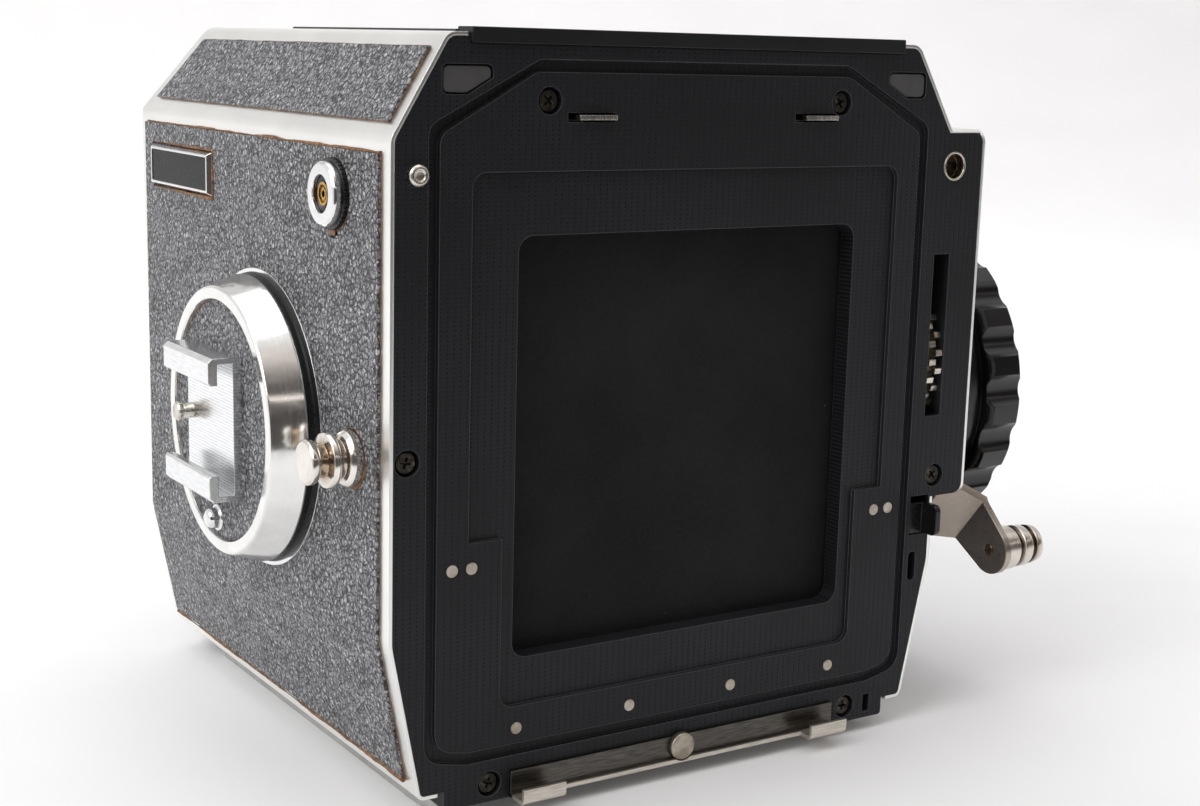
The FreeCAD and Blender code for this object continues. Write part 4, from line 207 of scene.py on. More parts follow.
# Enamels and dark finishes
def dotted_enamel():
    """Stoved satin enamel, dark with a faint bluish sheen, on steel embossed with rows of fine pits."""
    material, tree, shader, place = start("stoved_enamel_on_embossed_steel")
    # Pits 1.0 mm apart across and 0.6 mm apart in height
    pitch = (1.0 * MM, 1.0, 0.6 * MM)
    rows = add(tree, "ShaderNodeVectorMath", {0: place, 1: pitch}, operation="DIVIDE")
    cell = add(tree, "ShaderNodeVectorMath", {0: rows}, operation="FRACTION")
    centred = add(tree, "ShaderNodeVectorMath", {0: cell, 1: (0.5, 0.5, 0.5)}, operation="SUBTRACT")
    flat = add(tree, "ShaderNodeVectorMath", {0: centred, 1: (pitch[0], 0, pitch[2])}, operation="MULTIPLY")
    away = add(tree, "ShaderNodeVectorMath", {0: flat}, operation="LENGTH")
    pit = add(tree, "ShaderNodeMapRange", {"Value": away, "From Min": 0.1 * MM, "From Max": 0.2 * MM})
    patch = add(tree, "ShaderNodeTexNoise", {"Vector": place, "Scale": 1 / (18 * MM), "Detail": 4.0})
    # The enamel has filled the pits in some places, so they fade in and out
    filled = add(tree, "ShaderNodeMapRange", {"Value": patch, "From Min": 0.3, "From Max": 0.55,
                                              "To Min": 0.5})
    depth = add(tree, "ShaderNodeMix", {"Factor": filled, "A": 1.0, "B": pit})
    sheen = add(tree, "ShaderNodeValToRGB", {"Fac": patch}, stops=[(0.35, "#202124"), (0.7, "#26282c")])
    # Painted shade: the pits are coloured darker than the enamel round them, near black at their middles
    shade = add(tree, "ShaderNodeMix", {"Factor": depth, "A": colour("#101012"), "B": sheen},
                data_type="RGBA")
    peel = add(tree, "ShaderNodeTexNoise", {"Vector": place, "Scale": 1 / (0.4 * MM), "Detail": 3.0})
    gloss = add(tree, "ShaderNodeMapRange", {"Value": peel, "From Min": 0.3, "From Max": 0.7,
                                             "To Min": 0.38, "To Max": 0.5})
    edges = add(tree, "ShaderNodeBevel", {"Radius": 0.2 * MM}, samples=6)
    # Painted highlight: lighter lines along every pressed edge, hollow and raised alike
    level = add(tree, "ShaderNodeNewGeometry").outputs["Normal"]
    turned = add(tree, "ShaderNodeVectorMath", {0: edges, 1: level}, operation="DOT_PRODUCT")
    lighter_share = add(tree, "ShaderNodeMapRange", {"Value": turned, "From Min": 0.99, "From Max": 0.85,
                                              "To Max": 0.5})
    shade_with_edge_highlight = add(tree, "ShaderNodeMix", {"Factor": lighter_share, "A": shade, "B": colour("#77787c")},
               data_type="RGBA")
    fine = add(tree, "ShaderNodeBump", {"Height": peel, "Distance": 0.008 * MM, "Normal": edges})
    relief = add(tree, "ShaderNodeBump", {"Height": depth, "Distance": 0.04 * MM, "Normal": fine})
    wire(tree, shader, {"Base Color": shade_with_edge_highlight, "Roughness": gloss, "Specular IOR Level": 0.2, "Normal": relief})
    return material


def enamel(name, code, rough, specular=0.4):
    """Sprayed enamel: a slight orange peel and a little unevenness in its colour."""
    material, tree, shader, place = start(name)
    peel = add(tree, "ShaderNodeTexNoise", {"Vector": place, "Scale": 1 / (0.5 * MM), "Detail": 3.0})
    patch = add(tree, "ShaderNodeTexNoise", {"Vector": place, "Scale": 1 / (6 * MM), "Detail": 4.0})
    dull = add(tree, "ShaderNodeMapRange", {"Value": patch, "From Min": 0.3, "From Max": 0.7, "To Min": 0.72})
    shade = add(tree, "ShaderNodeVectorMath", {0: colour(code)[:3], "Scale": dull}, operation="SCALE")
    gloss = add(tree, "ShaderNodeMapRange", {"Value": peel, "From Min": 0.3, "From Max": 0.7,
                                             "To Min": rough - 0.05, "To Max": rough + 0.06})
    edges = add(tree, "ShaderNodeBevel", {"Radius": 0.12 * MM}, samples=4)
    relief = add(tree, "ShaderNodeBump", {"Height": peel, "Distance": 0.01 * MM, "Normal": edges})
    wire(tree, shader, {"Base Color": shade, "Roughness": gloss, "Specular IOR Level": specular,
                        "Normal": relief})
    return material


def blacked_steel():
    """Screws blacked in oil: nearly black, with a brown cast where the head has been turned."""
    material, tree, shader, place = start("oil_blacked_steel")
    wear = add(tree, "ShaderNodeTexNoise", {"Vector": place, "Scale": 1 / (0.7 * MM), "Detail": 5.0,
                                            "Roughness": 0.65})
    shade = add(tree, "ShaderNodeValToRGB", {"Fac": wear}, stops=[
        (0.35, "#1b1917"), (0.55, "#3d3831"), (0.75, "#6a6257")])
    gloss = add(tree, "ShaderNodeMapRange", {"Value": wear, "From Min": 0.3, "From Max": 0.7,
                                             "To Min": 0.5, "To Max": 0.3})
    edges = add(tree, "ShaderNodeBevel", {"Radius": 0.08 * MM}, samples=4)
    relief = add(tree, "ShaderNodeBump", {"Height": wear, "Distance": 0.02 * MM, "Normal": edges})
    wire(tree, shader, {"Base Color": shade, "Metallic": 0.7, "Roughness": gloss, "Normal": relief})
    return material


def moulded(name, code, rough=0.5):
    """Moulded plastic or rubber with the fine grain of its spark-eroded mould."""
    material, tree, shader, place = start(name)
    spark = add(tree, "ShaderNodeTexNoise", {"Vector": place, "Scale": 1 / (0.18 * MM), "Detail": 3.0})
    patch = add(tree, "ShaderNodeTexNoise", {"Vector": place, "Scale": 1 / (3 * MM), "Detail": 3.0})
    dull = add(tree, "ShaderNodeMapRange", {"Value": patch, "From Min": 0.3, "From Max": 0.7, "To Min": 0.8})
    shade = add(tree, "ShaderNodeVectorMath", {0: colour(code)[:3], "Scale": dull}, operation="SCALE")
    edges = add(tree, "ShaderNodeBevel", {"Radius": 0.12 * MM}, samples=4)
    relief = add(tree, "ShaderNodeBump", {"Height": spark, "Distance": 0.015 * MM, "Normal": edges})
    wire(tree, shader, {"Base Color": shade, "Roughness": rough, "Specular IOR Level": 0.4, "Normal": relief})
    return material


# Bright and worn metals
def satin_chrome():
    """Satin chrome plate over blasted sheet: a soft even white sheen, a little dull in places."""
    material, tree, shader, place = start("satin_chrome_plate")
    blast = add(tree, "ShaderNodeTexNoise", {"Vector": place, "Scale": 1 / (0.12 * MM), "Detail": 2.0})
    patch = add(tree, "ShaderNodeTexNoise", {"Vector": place, "Scale": 1 / (10 * MM), "Detail": 4.0})
    shade = add(tree, "ShaderNodeValToRGB", {"Fac": patch}, stops=[(0.3, "#f1f1ee"), (0.7, "#f8f8f5")])
    gloss = add(tree, "ShaderNodeMapRange", {"Value": patch, "From Min": 0.3, "From Max": 0.7,
                                             "To Min": 0.29, "To Max": 0.33})
    edges = add(tree, "ShaderNodeBevel", {"Radius": 0.2 * MM}, samples=4)
    relief = add(tree, "ShaderNodeBump", {"Height": blast, "Distance": 0.004 * MM, "Normal": edges})
    wire(tree, shader, {"Base Color": shade, "Metallic": 1.0, "Roughness": gloss, "Normal": relief})
    return material


def bright_chrome():
    """Polished chrome plate: almost a mirror, with faint hairlines from wiping."""
    material, tree, shader, place = start("polished_chrome_plate")
    wiped = add(tree, "ShaderNodeMapping", {"Vector": place, "Scale": (1, 8, 1)})
    hair = add(tree, "ShaderNodeTexNoise", {"Vector": wiped, "Scale": 1 / (0.6 * MM), "Detail": 3.0})
    gloss = add(tree, "ShaderNodeMapRange", {"Value": hair, "From Min": 0.3, "From Max": 0.7,
                                             "To Min": 0.05, "To Max": 0.16})
    edges = add(tree, "ShaderNodeBevel", {"Radius": 0.1 * MM}, samples=4)
    wire(tree, shader, {"Base Color": colour("#e9e9ea"), "Metallic": 1.0, "Roughness": gloss,
                        "Normal": edges})
    return material


def worn_nickel(name, dark, light, rough=0.26):
    """Nickel plate handled for decades: warm, with dull patches."""
    material, tree, shader, place = start(name)
    patch = add(tree, "ShaderNodeTexNoise", {"Vector": place, "Scale": 1 / (2.5 * MM), "Detail": 3.0})
    shade = add(tree, "ShaderNodeValToRGB", {"Fac": patch}, stops=[(0.35, dark), (0.6, light)])
    hair = add(tree, "ShaderNodeTexNoise", {"Vector": place, "Scale": 1 / (0.3 * MM), "Detail": 3.0})
    gloss = add(tree, "ShaderNodeMapRange", {"Value": hair, "From Min": 0.3, "From Max": 0.7,
                                             "To Min": rough - 0.05, "To Max": rough + 0.08})
    edges = add(tree, "ShaderNodeBevel", {"Radius": 0.1 * MM}, samples=4)
    relief = add(tree, "ShaderNodeBump", {"Height": hair, "Distance": 0.003 * MM, "Normal": edges})
    wire(tree, shader, {"Base Color": shade, "Metallic": 1.0, "Roughness": gloss, "Normal": relief})
    return material


def spun(name, dark, light, centre, axis, rough=0.2, metallic=1.0, hollow_tint=None):
    """Metal turned on a lathe: fine rings round its axis, and a darker colour laid in its hollows.

    The hollow tint is given as the radius where it is full, the radius where it ends, the two heights along
    the axis that it lies between, all in mm, and its colour."""
    material, tree, shader, place = start(name)
    offset = add(tree, "ShaderNodeVectorMath", {0: place, 1: tuple(centre)}, operation="SUBTRACT")
    keep = tuple(0.0 if i == axis else 1.0 for i in range(3))
    flat = add(tree, "ShaderNodeVectorMath", {0: offset, 1: keep}, operation="MULTIPLY")
    radius = add(tree, "ShaderNodeVectorMath", {0: flat}, operation="LENGTH")
    along = add(tree, "ShaderNodeSeparateXYZ", {"Vector": offset}).outputs[axis]
    ring = add(tree, "ShaderNodeCombineXYZ", {"X": radius, "Y": along})
    lines = add(tree, "ShaderNodeTexNoise", {"Vector": ring, "Scale": 1 / (0.14 * MM), "Detail": 2.0})
    patch = add(tree, "ShaderNodeTexNoise", {"Vector": place, "Scale": 1 / (3 * MM), "Detail": 3.0})
    mixed = add(tree, "ShaderNodeMix", {"Factor": 0.6, "A": lines, "B": patch})
    shade = add(tree, "ShaderNodeValToRGB", {"Fac": mixed}, stops=[(0.36, dark), (0.64, light)])
    # A darker colour laid between two radii and two heights along the axis, where the hollows are
    if hollow_tint:
        inner, outer, first, last, code = hollow_tint
        hollow = add(tree, "ShaderNodeMapRange", {"Value": radius, "From Min": inner * MM,
                                                  "From Max": outer * MM, "To Min": 1.0, "To Max": 0.0})
        height, reach = (first + last) / 2 * MM, (last - first) / 2 * MM
        within = add(tree, "ShaderNodeMath", {0: along, 1: height, 2: reach}, operation="COMPARE")
        tint_share = add(tree, "ShaderNodeMath", {0: hollow, 1: within}, operation="MULTIPLY")
        shade = add(tree, "ShaderNodeMix", {"Factor": tint_share, "A": shade, "B": colour(code)}, data_type="RGBA")
    gloss = add(tree, "ShaderNodeMapRange", {"Value": lines, "From Min": 0.3, "From Max": 0.7,
                                             "To Min": rough - 0.03, "To Max": rough + 0.04})
    turn = add(tree, "ShaderNodeTangent", direction_type="RADIAL", axis="XYZ"[axis])
    edges = add(tree, "ShaderNodeBevel", {"Radius": 0.12 * MM}, samples=4)
    relief = add(tree, "ShaderNodeBump", {"Height": lines, "Distance": 0.0015 * MM, "Normal": edges})
    wire(tree, shader, {"Base Color": shade, "Metallic": metallic, "Roughness": gloss, "Anisotropic": 0.6,
                        "Tangent": turn, "Normal": relief})
    return material


def brushed(name, dark, light, stretch, rough=0.32):
    """Metal rubbed along one direction: long fine scratches, with stains where it has been held."""
    material, tree, shader, place = start(name)
    drawn = add(tree, "ShaderNodeMapping", {"Vector": place, "Scale": stretch})
    lines = add(tree, "ShaderNodeTexNoise", {"Vector": drawn, "Scale": 1 / (1.6 * MM), "Detail": 4.0,
                                             "Roughness": 0.7})
    patch = add(tree, "ShaderNodeTexNoise", {"Vector": place, "Scale": 1 / (4 * MM), "Detail": 4.0})
    mixed = add(tree, "ShaderNodeMix", {"Factor": 0.4, "A": lines, "B": patch})
    shade = add(tree, "ShaderNodeValToRGB", {"Fac": mixed}, stops=[(0.36, dark), (0.64, light)])
    gloss = add(tree, "ShaderNodeMapRange", {"Value": lines, "From Min": 0.3, "From Max": 0.7,
                                             "To Min": rough - 0.04, "To Max": rough + 0.04})
    edges = add(tree, "ShaderNodeBevel", {"Radius": 0.12 * MM}, samples=4)
    relief = add(tree, "ShaderNodeBump", {"Height": lines, "Distance": 0.003 * MM, "Normal": edges})
    wire(tree, shader, {"Base Color": shade, "Metallic": 1.0, "Roughness": gloss, "Normal": relief})
    return material


def milled_shoe():
    """Nickelled brass, its seat milled in strokes 0.45 mm apart, raised by a bump and painted lighter along
    their crests as fine white lines of painted highlight.
    """
    seat_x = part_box("accessory_shoe")[1].x - 1.75 * MM
    material, tree, shader, place = start("milled_and_nickelled_brass")
    axes = add(tree, "ShaderNodeSeparateXYZ", {"Vector": place})
    step = math.tau / (0.45 * MM)
    turns = add(tree, "ShaderNodeMath", {0: axes.outputs["Z"], 1: step}, operation="MULTIPLY")
    stroke = add(tree, "ShaderNodeMath", {0: turns}, operation="SINE")
    seat = add(tree, "ShaderNodeMapRange", {"Value": axes.outputs["X"], "From Min": seat_x - 0.65 * MM,
                                            "From Max": seat_x - 0.25 * MM, "To Max": 0.3})
    stroke_relief_and_highlight = add(tree, "ShaderNodeMath", {0: stroke, 1: seat}, operation="MULTIPLY")
    spread = add(tree, "ShaderNodeMapping", {"Vector": place, "Scale": (1, 0.1, 1)})
    hair = add(tree, "ShaderNodeTexNoise", {"Vector": spread, "Scale": 1 / (0.25 * MM), "Detail": 3.0})
    height = add(tree, "ShaderNodeMath", {0: stroke_relief_and_highlight, 1: hair}, operation="ADD")
    # Painted highlight: the crests of the strokes are coloured lighter, as fine white lines
    shade = add(tree, "ShaderNodeValToRGB", {"Fac": height}, stops=[(0.2, "#d9dcde"), (0.7, "#f4f5f5")])
    edges = add(tree, "ShaderNodeBevel", {"Radius": 0.15 * MM}, samples=4)
    relief = add(tree, "ShaderNodeBump", {"Height": height, "Distance": 0.006 * MM, "Normal": edges})
    wire(tree, shader, {"Base Color": shade, "Metallic": 1.0, "Roughness": 0.22, "Normal": relief})
    return material


def latch_steel():
    """Brushed steel bar, dark with age on its face; its lip and hooks are rubbed to a warm bright grey."""
    material, tree, shader, place = start("rubbed_bar_steel")
    drawn = add(tree, "ShaderNodeMapping", {"Vector": place, "Scale": (0.05, 1, 1)})
    lines = add(tree, "ShaderNodeTexNoise", {"Vector": drawn, "Scale": 1 / (0.16 * MM), "Detail": 3.0})
    depth = add(tree, "ShaderNodeSeparateXYZ", {"Vector": place}).outputs["Y"]
    lighter_share = add(tree, "ShaderNodeMapRange", {"Value": depth, "From Min": REAR_Y - 0.8 * MM,
                                              "From Max": REAR_Y - 1.2 * MM})
    aged = add(tree, "ShaderNodeValToRGB", {"Fac": lines}, stops=[(0.35, "#4a4844"), (0.65, "#6c6964")])
    bare = add(tree, "ShaderNodeValToRGB", {"Fac": lines}, stops=[(0.35, "#cbc4b8"), (0.65, "#e6e0d6")])
    shade = add(tree, "ShaderNodeMix", {"Factor": lighter_share, "A": aged, "B": bare}, data_type="RGBA")
    gloss = add(tree, "ShaderNodeMapRange", {"Value": lighter_share, "To Min": 0.3, "To Max": 0.45})
    edges = add(tree, "ShaderNodeBevel", {"Radius": 0.12 * MM}, samples=4)
    relief = add(tree, "ShaderNodeBump", {"Height": lines, "Distance": 0.006 * MM, "Normal": edges})
    wire(tree, shader, {"Base Color": shade, "Metallic": 1.0, "Roughness": gloss, "Normal": relief})
    return material


def gilt():
    """Gilt brass contact rings, dulled a little."""
    material, tree, shader, place = start("gilt_brass")
    patch = add(tree, "ShaderNodeTexNoise", {"Vector": place, "Scale": 1 / (0.7 * MM), "Detail": 4.0})
    shade = add(tree, "ShaderNodeValToRGB", {"Fac": patch}, stops=[(0.3, "#8f6a34"), (0.7, "#d9b56a")])
    gloss = add(tree, "ShaderNodeMapRange", {"Value": patch, "From Min": 0.3, "From Max": 0.7,
                                             "To Min": 0.2, "To Max": 0.34})
    edges = add(tree, "ShaderNodeBevel", {"Radius": 0.05 * MM}, samples=4)
    wire(tree, shader, {"Base Color": shade, "Metallic": 1.0, "Roughness": gloss, "Normal": edges})
    return material


# Glass
def ground_glass():
    """Ground glass: a frosted face that scatters the light."""
    material, tree, shader, place = start("ground_crown_glass")
    frost = add(tree, "ShaderNodeTexNoise", {"Vector": place, "Scale": 1 / (0.15 * MM), "Detail": 3.0})
    relief = add(tree, "ShaderNodeBump", {"Height": frost, "Distance": 0.01 * MM})
    wire(tree, shader, {"Base Color": colour("#e3e8e6"), "Roughness": 0.5, "IOR": 1.52,
                        "Transmission Weight": 0.85, "Normal": relief})
    return material


def silvered_glass():
    """Front-silvered glass with a faint haze."""
    material, tree, shader, place = start("front_silvered_glass")
    haze = add(tree, "ShaderNodeTexNoise", {"Vector": place, "Scale": 1 / (15 * MM), "Detail": 4.0})
    gloss = add(tree, "ShaderNodeMapRange", {"Value": haze, "From Min": 0.3, "From Max": 0.7,
                                             "To Min": 0.02, "To Max": 0.07})
    wire(tree, shader, {"Base Color": colour("#eef0f0"), "Metallic": 1.0, "Roughness": gloss})
    return material


# Pieces
def carry(piece, material, *names):
    """Gives a new piece its finish and its body, and hides the nodes that it stands for."""
    piece.data.materials.clear()
    piece.data.materials.append(material)
    for body, held in record["behaviour"]["bodies"].items():
        if names[0] in held:
            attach(piece, body)
    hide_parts(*names)


def put(name, data):
    """A new object for a mesh, a text or a lamp."""
    piece = bpy.data.objects.new(name, data)
    bpy.context.scene.collection.objects.link(piece)
    return piece


def paint(material, *names):
    """Gives a material to CAD nodes."""
    for name in names:
        data = nodes[name].data
        data.materials.clear()
        data.materials.append(material)


def ease(material, width_mm, *names):
    """Copies of CAD nodes with their sharp edges eased by a small bevel."""
    for name in names:
        shape = nodes[name].data.copy()
        shape.name = f"{name}_eased"
        mesh = bmesh.new()
        mesh.from_mesh(shape)
        bmesh.ops.remove_doubles(mesh, verts=mesh.verts, dist=0.002 * MM)
        bmesh.ops.dissolve_limit(mesh, angle_limit=math.radians(0.5), verts=mesh.verts, edges=mesh.edges)
        for face in mesh.faces:
            face.smooth = True
        mesh.to_mesh(shape)
        mesh.free()
        piece = put(f"{name}_eased", shape)
        bevel = piece.modifiers.new("eased_edges", "BEVEL")
        bevel.width = width_mm * MM
        bevel.segments = 2
        bevel.limit_method = "ANGLE"
        bevel.angle_limit = math.radians(38)
        bevel.use_clamp_overlap = True
        flats = piece.modifiers.new("flat_faces", "WEIGHTED_NORMAL")
        flats.keep_sharp = False
        flats.weight = 80
        carry(piece, material, name)


def raised_rim(material):
    """The rim round the cap, grown outwards until its rolled edge stands level with the covering."""
    growth = 3.2
    ease(material, 0.05, "cap_rim")
    shape = bpy.data.objects["cap_rim_eased"].data
    seat = Matrix.Translation((LEFT_X, 0, 0))
    shape.transform(seat @ Matrix.Diagonal((growth, 1, 1, 1)) @ seat.inverted())


def shutter_curtain(cloth):
    """The first curtain, held flat by its rollers with very shallow waves across it."""
    low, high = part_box("first_curtain")
    wide, tall = 120, 150
    # Each wave has a depth in mm, a length across, a length along and a phase
    waves = ((0.03, 6.1 * MM, 50 * MM, 0), (0.03, 13.7 * MM, -31 * MM, 1.2))
    mesh = bmesh.new()
    rows = []
    for j in range(tall + 1):
        z = low.z + (high.z - low.z) * j / tall
        row = []
        for i in range(wide + 1):
            x = low.x + (high.x - low.x) * i / wide
            wave = sum(depth * math.sin(x / across + z / along + phase)
                       for depth, across, along, phase in waves)
            row.append(mesh.verts.new((x, (low.y + high.y) / 2 + wave * MM, z)))
        rows.append(row)
    for j in range(tall):
        for i in range(wide):
            mesh.faces.new((rows[j][i], rows[j][i + 1], rows[j + 1][i + 1], rows[j + 1][i])).smooth = True
    shape = bpy.data.meshes.new("stretched_curtain")
    mesh.to_mesh(shape)
    mesh.free()
    piece = put("stretched_curtain", shape)
    solid = piece.modifiers.new("cloth_thickness", "SOLIDIFY")
    solid.thickness = 0.12 * MM
    solid.offset = 0
    carry(piece, cloth, "first_curtain")


def rolled_curtain(cloth):
    """The second curtain, wound in a spiral on the lower roller."""
    low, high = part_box("second_curtain")
    axis = (low + high) / 2
    inner, outer, turns = 1.3 * MM, (high.z - low.z) / 2 - 0.07 * MM, 4
    steps = 48 * turns
    mesh = bmesh.new()
    rows = []
    for j in range(steps + 1):
        share = j / steps
        radius = inner + (outer - inner) * share
        angle = math.tau * turns * share
        y, z = axis.y + radius * math.cos(angle), axis.z + radius * math.sin(angle)
        rows.append([mesh.verts.new((x, y, z)) for x in (low.x, axis.x, high.x)])
        if j:
            for i in range(2):
                mesh.faces.new((rows[-2][i], rows[-2][i + 1], rows[-1][i + 1], rows[-1][i])).smooth = True
    shape = bpy.data.meshes.new("rolled_curtain")
    mesh.to_mesh(shape)
    mesh.free()
    piece = put("rolled_curtain", shape)
    solid = piece.modifiers.new("cloth_thickness", "SOLIDIFY")
    solid.thickness = 0.1 * MM
    solid.offset = 0
    carry(piece, cloth, "second_curtain")


def bead_tree():
    """A bead of old glue along drawn paths: it swells, thins and wanders by noise."""
    tree = bpy.data.node_groups.new("glue_bead", "GeometryNodeTree")
    for name, kind in (("Path", "Geometry"), ("Step", "Float"), ("Wander", "Float"), ("Lump size", "Float"),
                       ("Seed", "Float"), ("Glue", "Material")):
        tree.interface.new_socket(name, in_out="INPUT", socket_type=f"NodeSocket{kind}")
    tree.interface.new_socket("Bead", in_out="OUTPUT", socket_type="NodeSocketGeometry")
    given = add(tree, "NodeGroupInput").outputs
    width = add(tree, "GeometryNodeInputNamedAttribute", {"Name": "half_width"}, data_type="FLOAT")
    line = add(tree, "GeometryNodeMeshToCurve", {"Mesh": given["Path"]})
    line = add(tree, "GeometryNodeResampleCurve", {"Curve": line, "Length": given["Step"]}, mode="LENGTH")
    lumps = add(tree, "ShaderNodeMath", {0: 1.0, 1: given["Lump size"]}, operation="DIVIDE")
    noise = add(tree, "ShaderNodeTexNoise", {"W": given["Seed"], "Scale": lumps, "Detail": 3.0},
                noise_dimensions="4D")
    centred = add(tree, "ShaderNodeVectorMath", {0: noise.outputs["Color"], 1: (0.5, 0.5, 0.5)},
                  operation="SUBTRACT")
    shift = add(tree, "ShaderNodeVectorMath", {0: centred, "Scale": given["Wander"]}, operation="SCALE")
    line = add(tree, "GeometryNodeSetPosition", {"Geometry": line, "Offset": shift})
    swell = add(tree, "ShaderNodeMapRange", {"Value": noise.outputs["Fac"], "From Min": 0.36, "From Max": 0.6,
                                             "To Min": 0.25, "To Max": 1.15})
    radius = add(tree, "ShaderNodeMath", {0: swell, 1: width.outputs["Attribute"]}, operation="MULTIPLY")
    section = add(tree, "GeometryNodeCurvePrimitiveCircle", {"Resolution": 6, "Radius": 1.0})
    bead = add(tree, "GeometryNodeCurveToMesh", {"Curve": line, "Profile Curve": section.outputs["Curve"],
                                                 "Scale": radius, "Fill Caps": True})
    bead = add(tree, "GeometryNodeSetShadeSmooth", {"Geometry": bead})
    whole = add(tree, "GeometryNodeRealizeInstances", {"Geometry": bead})
    done = add(tree, "GeometryNodeSetMaterial", {"Geometry": whole, "Material": given["Glue"]})
    add(tree, "NodeGroupOutput", {"Bead": done})
    return tree


def lay_beads(name, tree, glue, body, paths, seed):
    """Glue beads along paths of points with their half widths in mm, as one piece on one body."""
    lines = bpy.data.meshes.new(f"{name}_paths")
    points, edges, widths = [], [], []
    for path, closed in paths:
        first = len(points)
        points += [point for point, width in path]
        widths += [width * MM for point, width in path]
        edges += [(first + i, first + i + 1) for i in range(len(path) - 1)]
        if closed:
            edges.append((first + len(path) - 1, first))
    lines.from_pydata(points, edges, [])
    lines.attributes.new("half_width", "FLOAT", "POINT").data.foreach_set("value", widths)
    drawn = put(f"{name}_paths", lines)
    modifier = drawn.modifiers.new("beads", "NODES")
    modifier.node_group = tree
    chosen = {"Step": 0.4 * MM, "Wander": 0.3 * MM, "Lump size": 7.0 * MM, "Seed": seed, "Glue": glue}
    for socket in tree.interface.items_tree:
        if socket.in_out == "INPUT" and socket.name in chosen:
            modifier[socket.identifier] = chosen[socket.name]
    shape = bpy.data.meshes.new_from_object(drawn.evaluated_get(bpy.context.evaluated_depsgraph_get()))
    shape.name = name
    drawn.modifiers.remove(modifier)
    bpy.data.objects.remove(drawn)
    piece = put(name, shape)
    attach(piece, body)


def ring_path(centre, x, radius, thin, thick, heavy):
    """A circle round an axis along X, in mm: its bead is thin, but thick towards an angle in degrees."""
    path = []
    count = 96
    for i in range(count):
        angle = math.tau * i / count
        share = max(0.0, math.cos(angle - math.radians(heavy))) ** 2
        path.append(((x, centre.y + radius * MM * math.cos(angle), centre.z + radius * MM * math.sin(angle)),
                     thin + (thick - thin) * share))
    return path


def glue_lines():
    """Aged glue that shows round the coverings and the fittings of the left side."""
    tree = bead_tree()
    glue = old_glue()
    # Round the large covering
    low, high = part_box("left_covering")
    shell_x, cover_x = LEFT_X - 0.02 * MM, low.x
    top, rear, foot = high.z + 0.1 * MM, low.y - 0.05 * MM, low.z - 0.35 * MM
    panel = [((shell_x, low.y, top), 0.3), ((shell_x, 0, top), 0.36), ((shell_x, high.y, top), 0.16)]
    rear_edge = [((shell_x, rear, top), 0.2), ((shell_x, rear, high.z - 2.6 * MM), 0.07),
                 ((shell_x, rear, 26 * MM), 0.06), ((LEFT_X + 2.9 * MM, rear, 11.5 * MM), 0.07),
                 ((LEFT_X + 3.8 * MM, rear, low.z), 0.14)]
    foot_edge = [((LEFT_X + 3.6 * MM, low.y, foot), 0.34), ((LEFT_X + 3.6 * MM, high.y, foot), 0.26)]
    # Round the covering of the slope, which leans in by 7.8 mm over a height of 13.1 mm
    shoulder, lean = 91.1 * MM, 7.8 / 13.1

    def slope(y, z):
        return (LEFT_X + (z - shoulder) * lean - 0.1 * MM, y, z)

    low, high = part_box("slope_coverings")
    front, top_front = high.y - 0.08 * MM, 33.4 * MM
    slope_low = [(slope(low.y, low.z), 0.2), (slope(0, low.z), 0.3), (slope(front, low.z), 0.16)]
    slope_rest = [(slope(front, low.z), 0.08), (slope(top_front, high.z), 0.06), (slope(low.y, high.z), 0.08),
                  (slope(low.y, low.z), 0.08)]
    # Round the badge, 0.1 mm off its frame
    margin = Vector((0.1, 0.1, 0.1)) * MM
    low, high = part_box("badge_frame")
    low, high = low - margin, high + margin
    badge = [((cover_x, low.y, low.z), 0.28), ((cover_x, low.y, high.z), 0.24),
             ((cover_x, high.y, high.z), 0.06), ((cover_x, high.y, low.z), 0.14),
             ((cover_x, 26 * MM, low.z), 0.3)]
    # Round the cap, the strap stud and the flash terminal
    cap = ring_path(CAP_AXIS, LEFT_X - 0.3 * MM, 21.55, thin=0.02, thick=0.22, heavy=115)
    stud = ring_path(STUD_AXIS, cover_x, 3.95, thin=0.08, thick=0.3, heavy=-120)
    terminal = ring_path(SYNC_AXIS, cover_x, 4.75, thin=0.03, thick=0.3, heavy=-75)
    lay_beads("covering_glue", tree, glue, "camera_body", [
        (panel, False), (rear_edge, False), (foot_edge, False), (slope_low, False), (slope_rest, False),
        (badge, True), (cap, True), (stud, True), (terminal, True)], seed=3.0)
    disc = ring_path(CAP_AXIS, LEFT_X - 6.1 * MM, 17.25, thin=0.02, thick=0.14, heavy=75)
    lay_beads("cap_glue", tree, glue, "cap", [(disc, True)], seed=7.0)


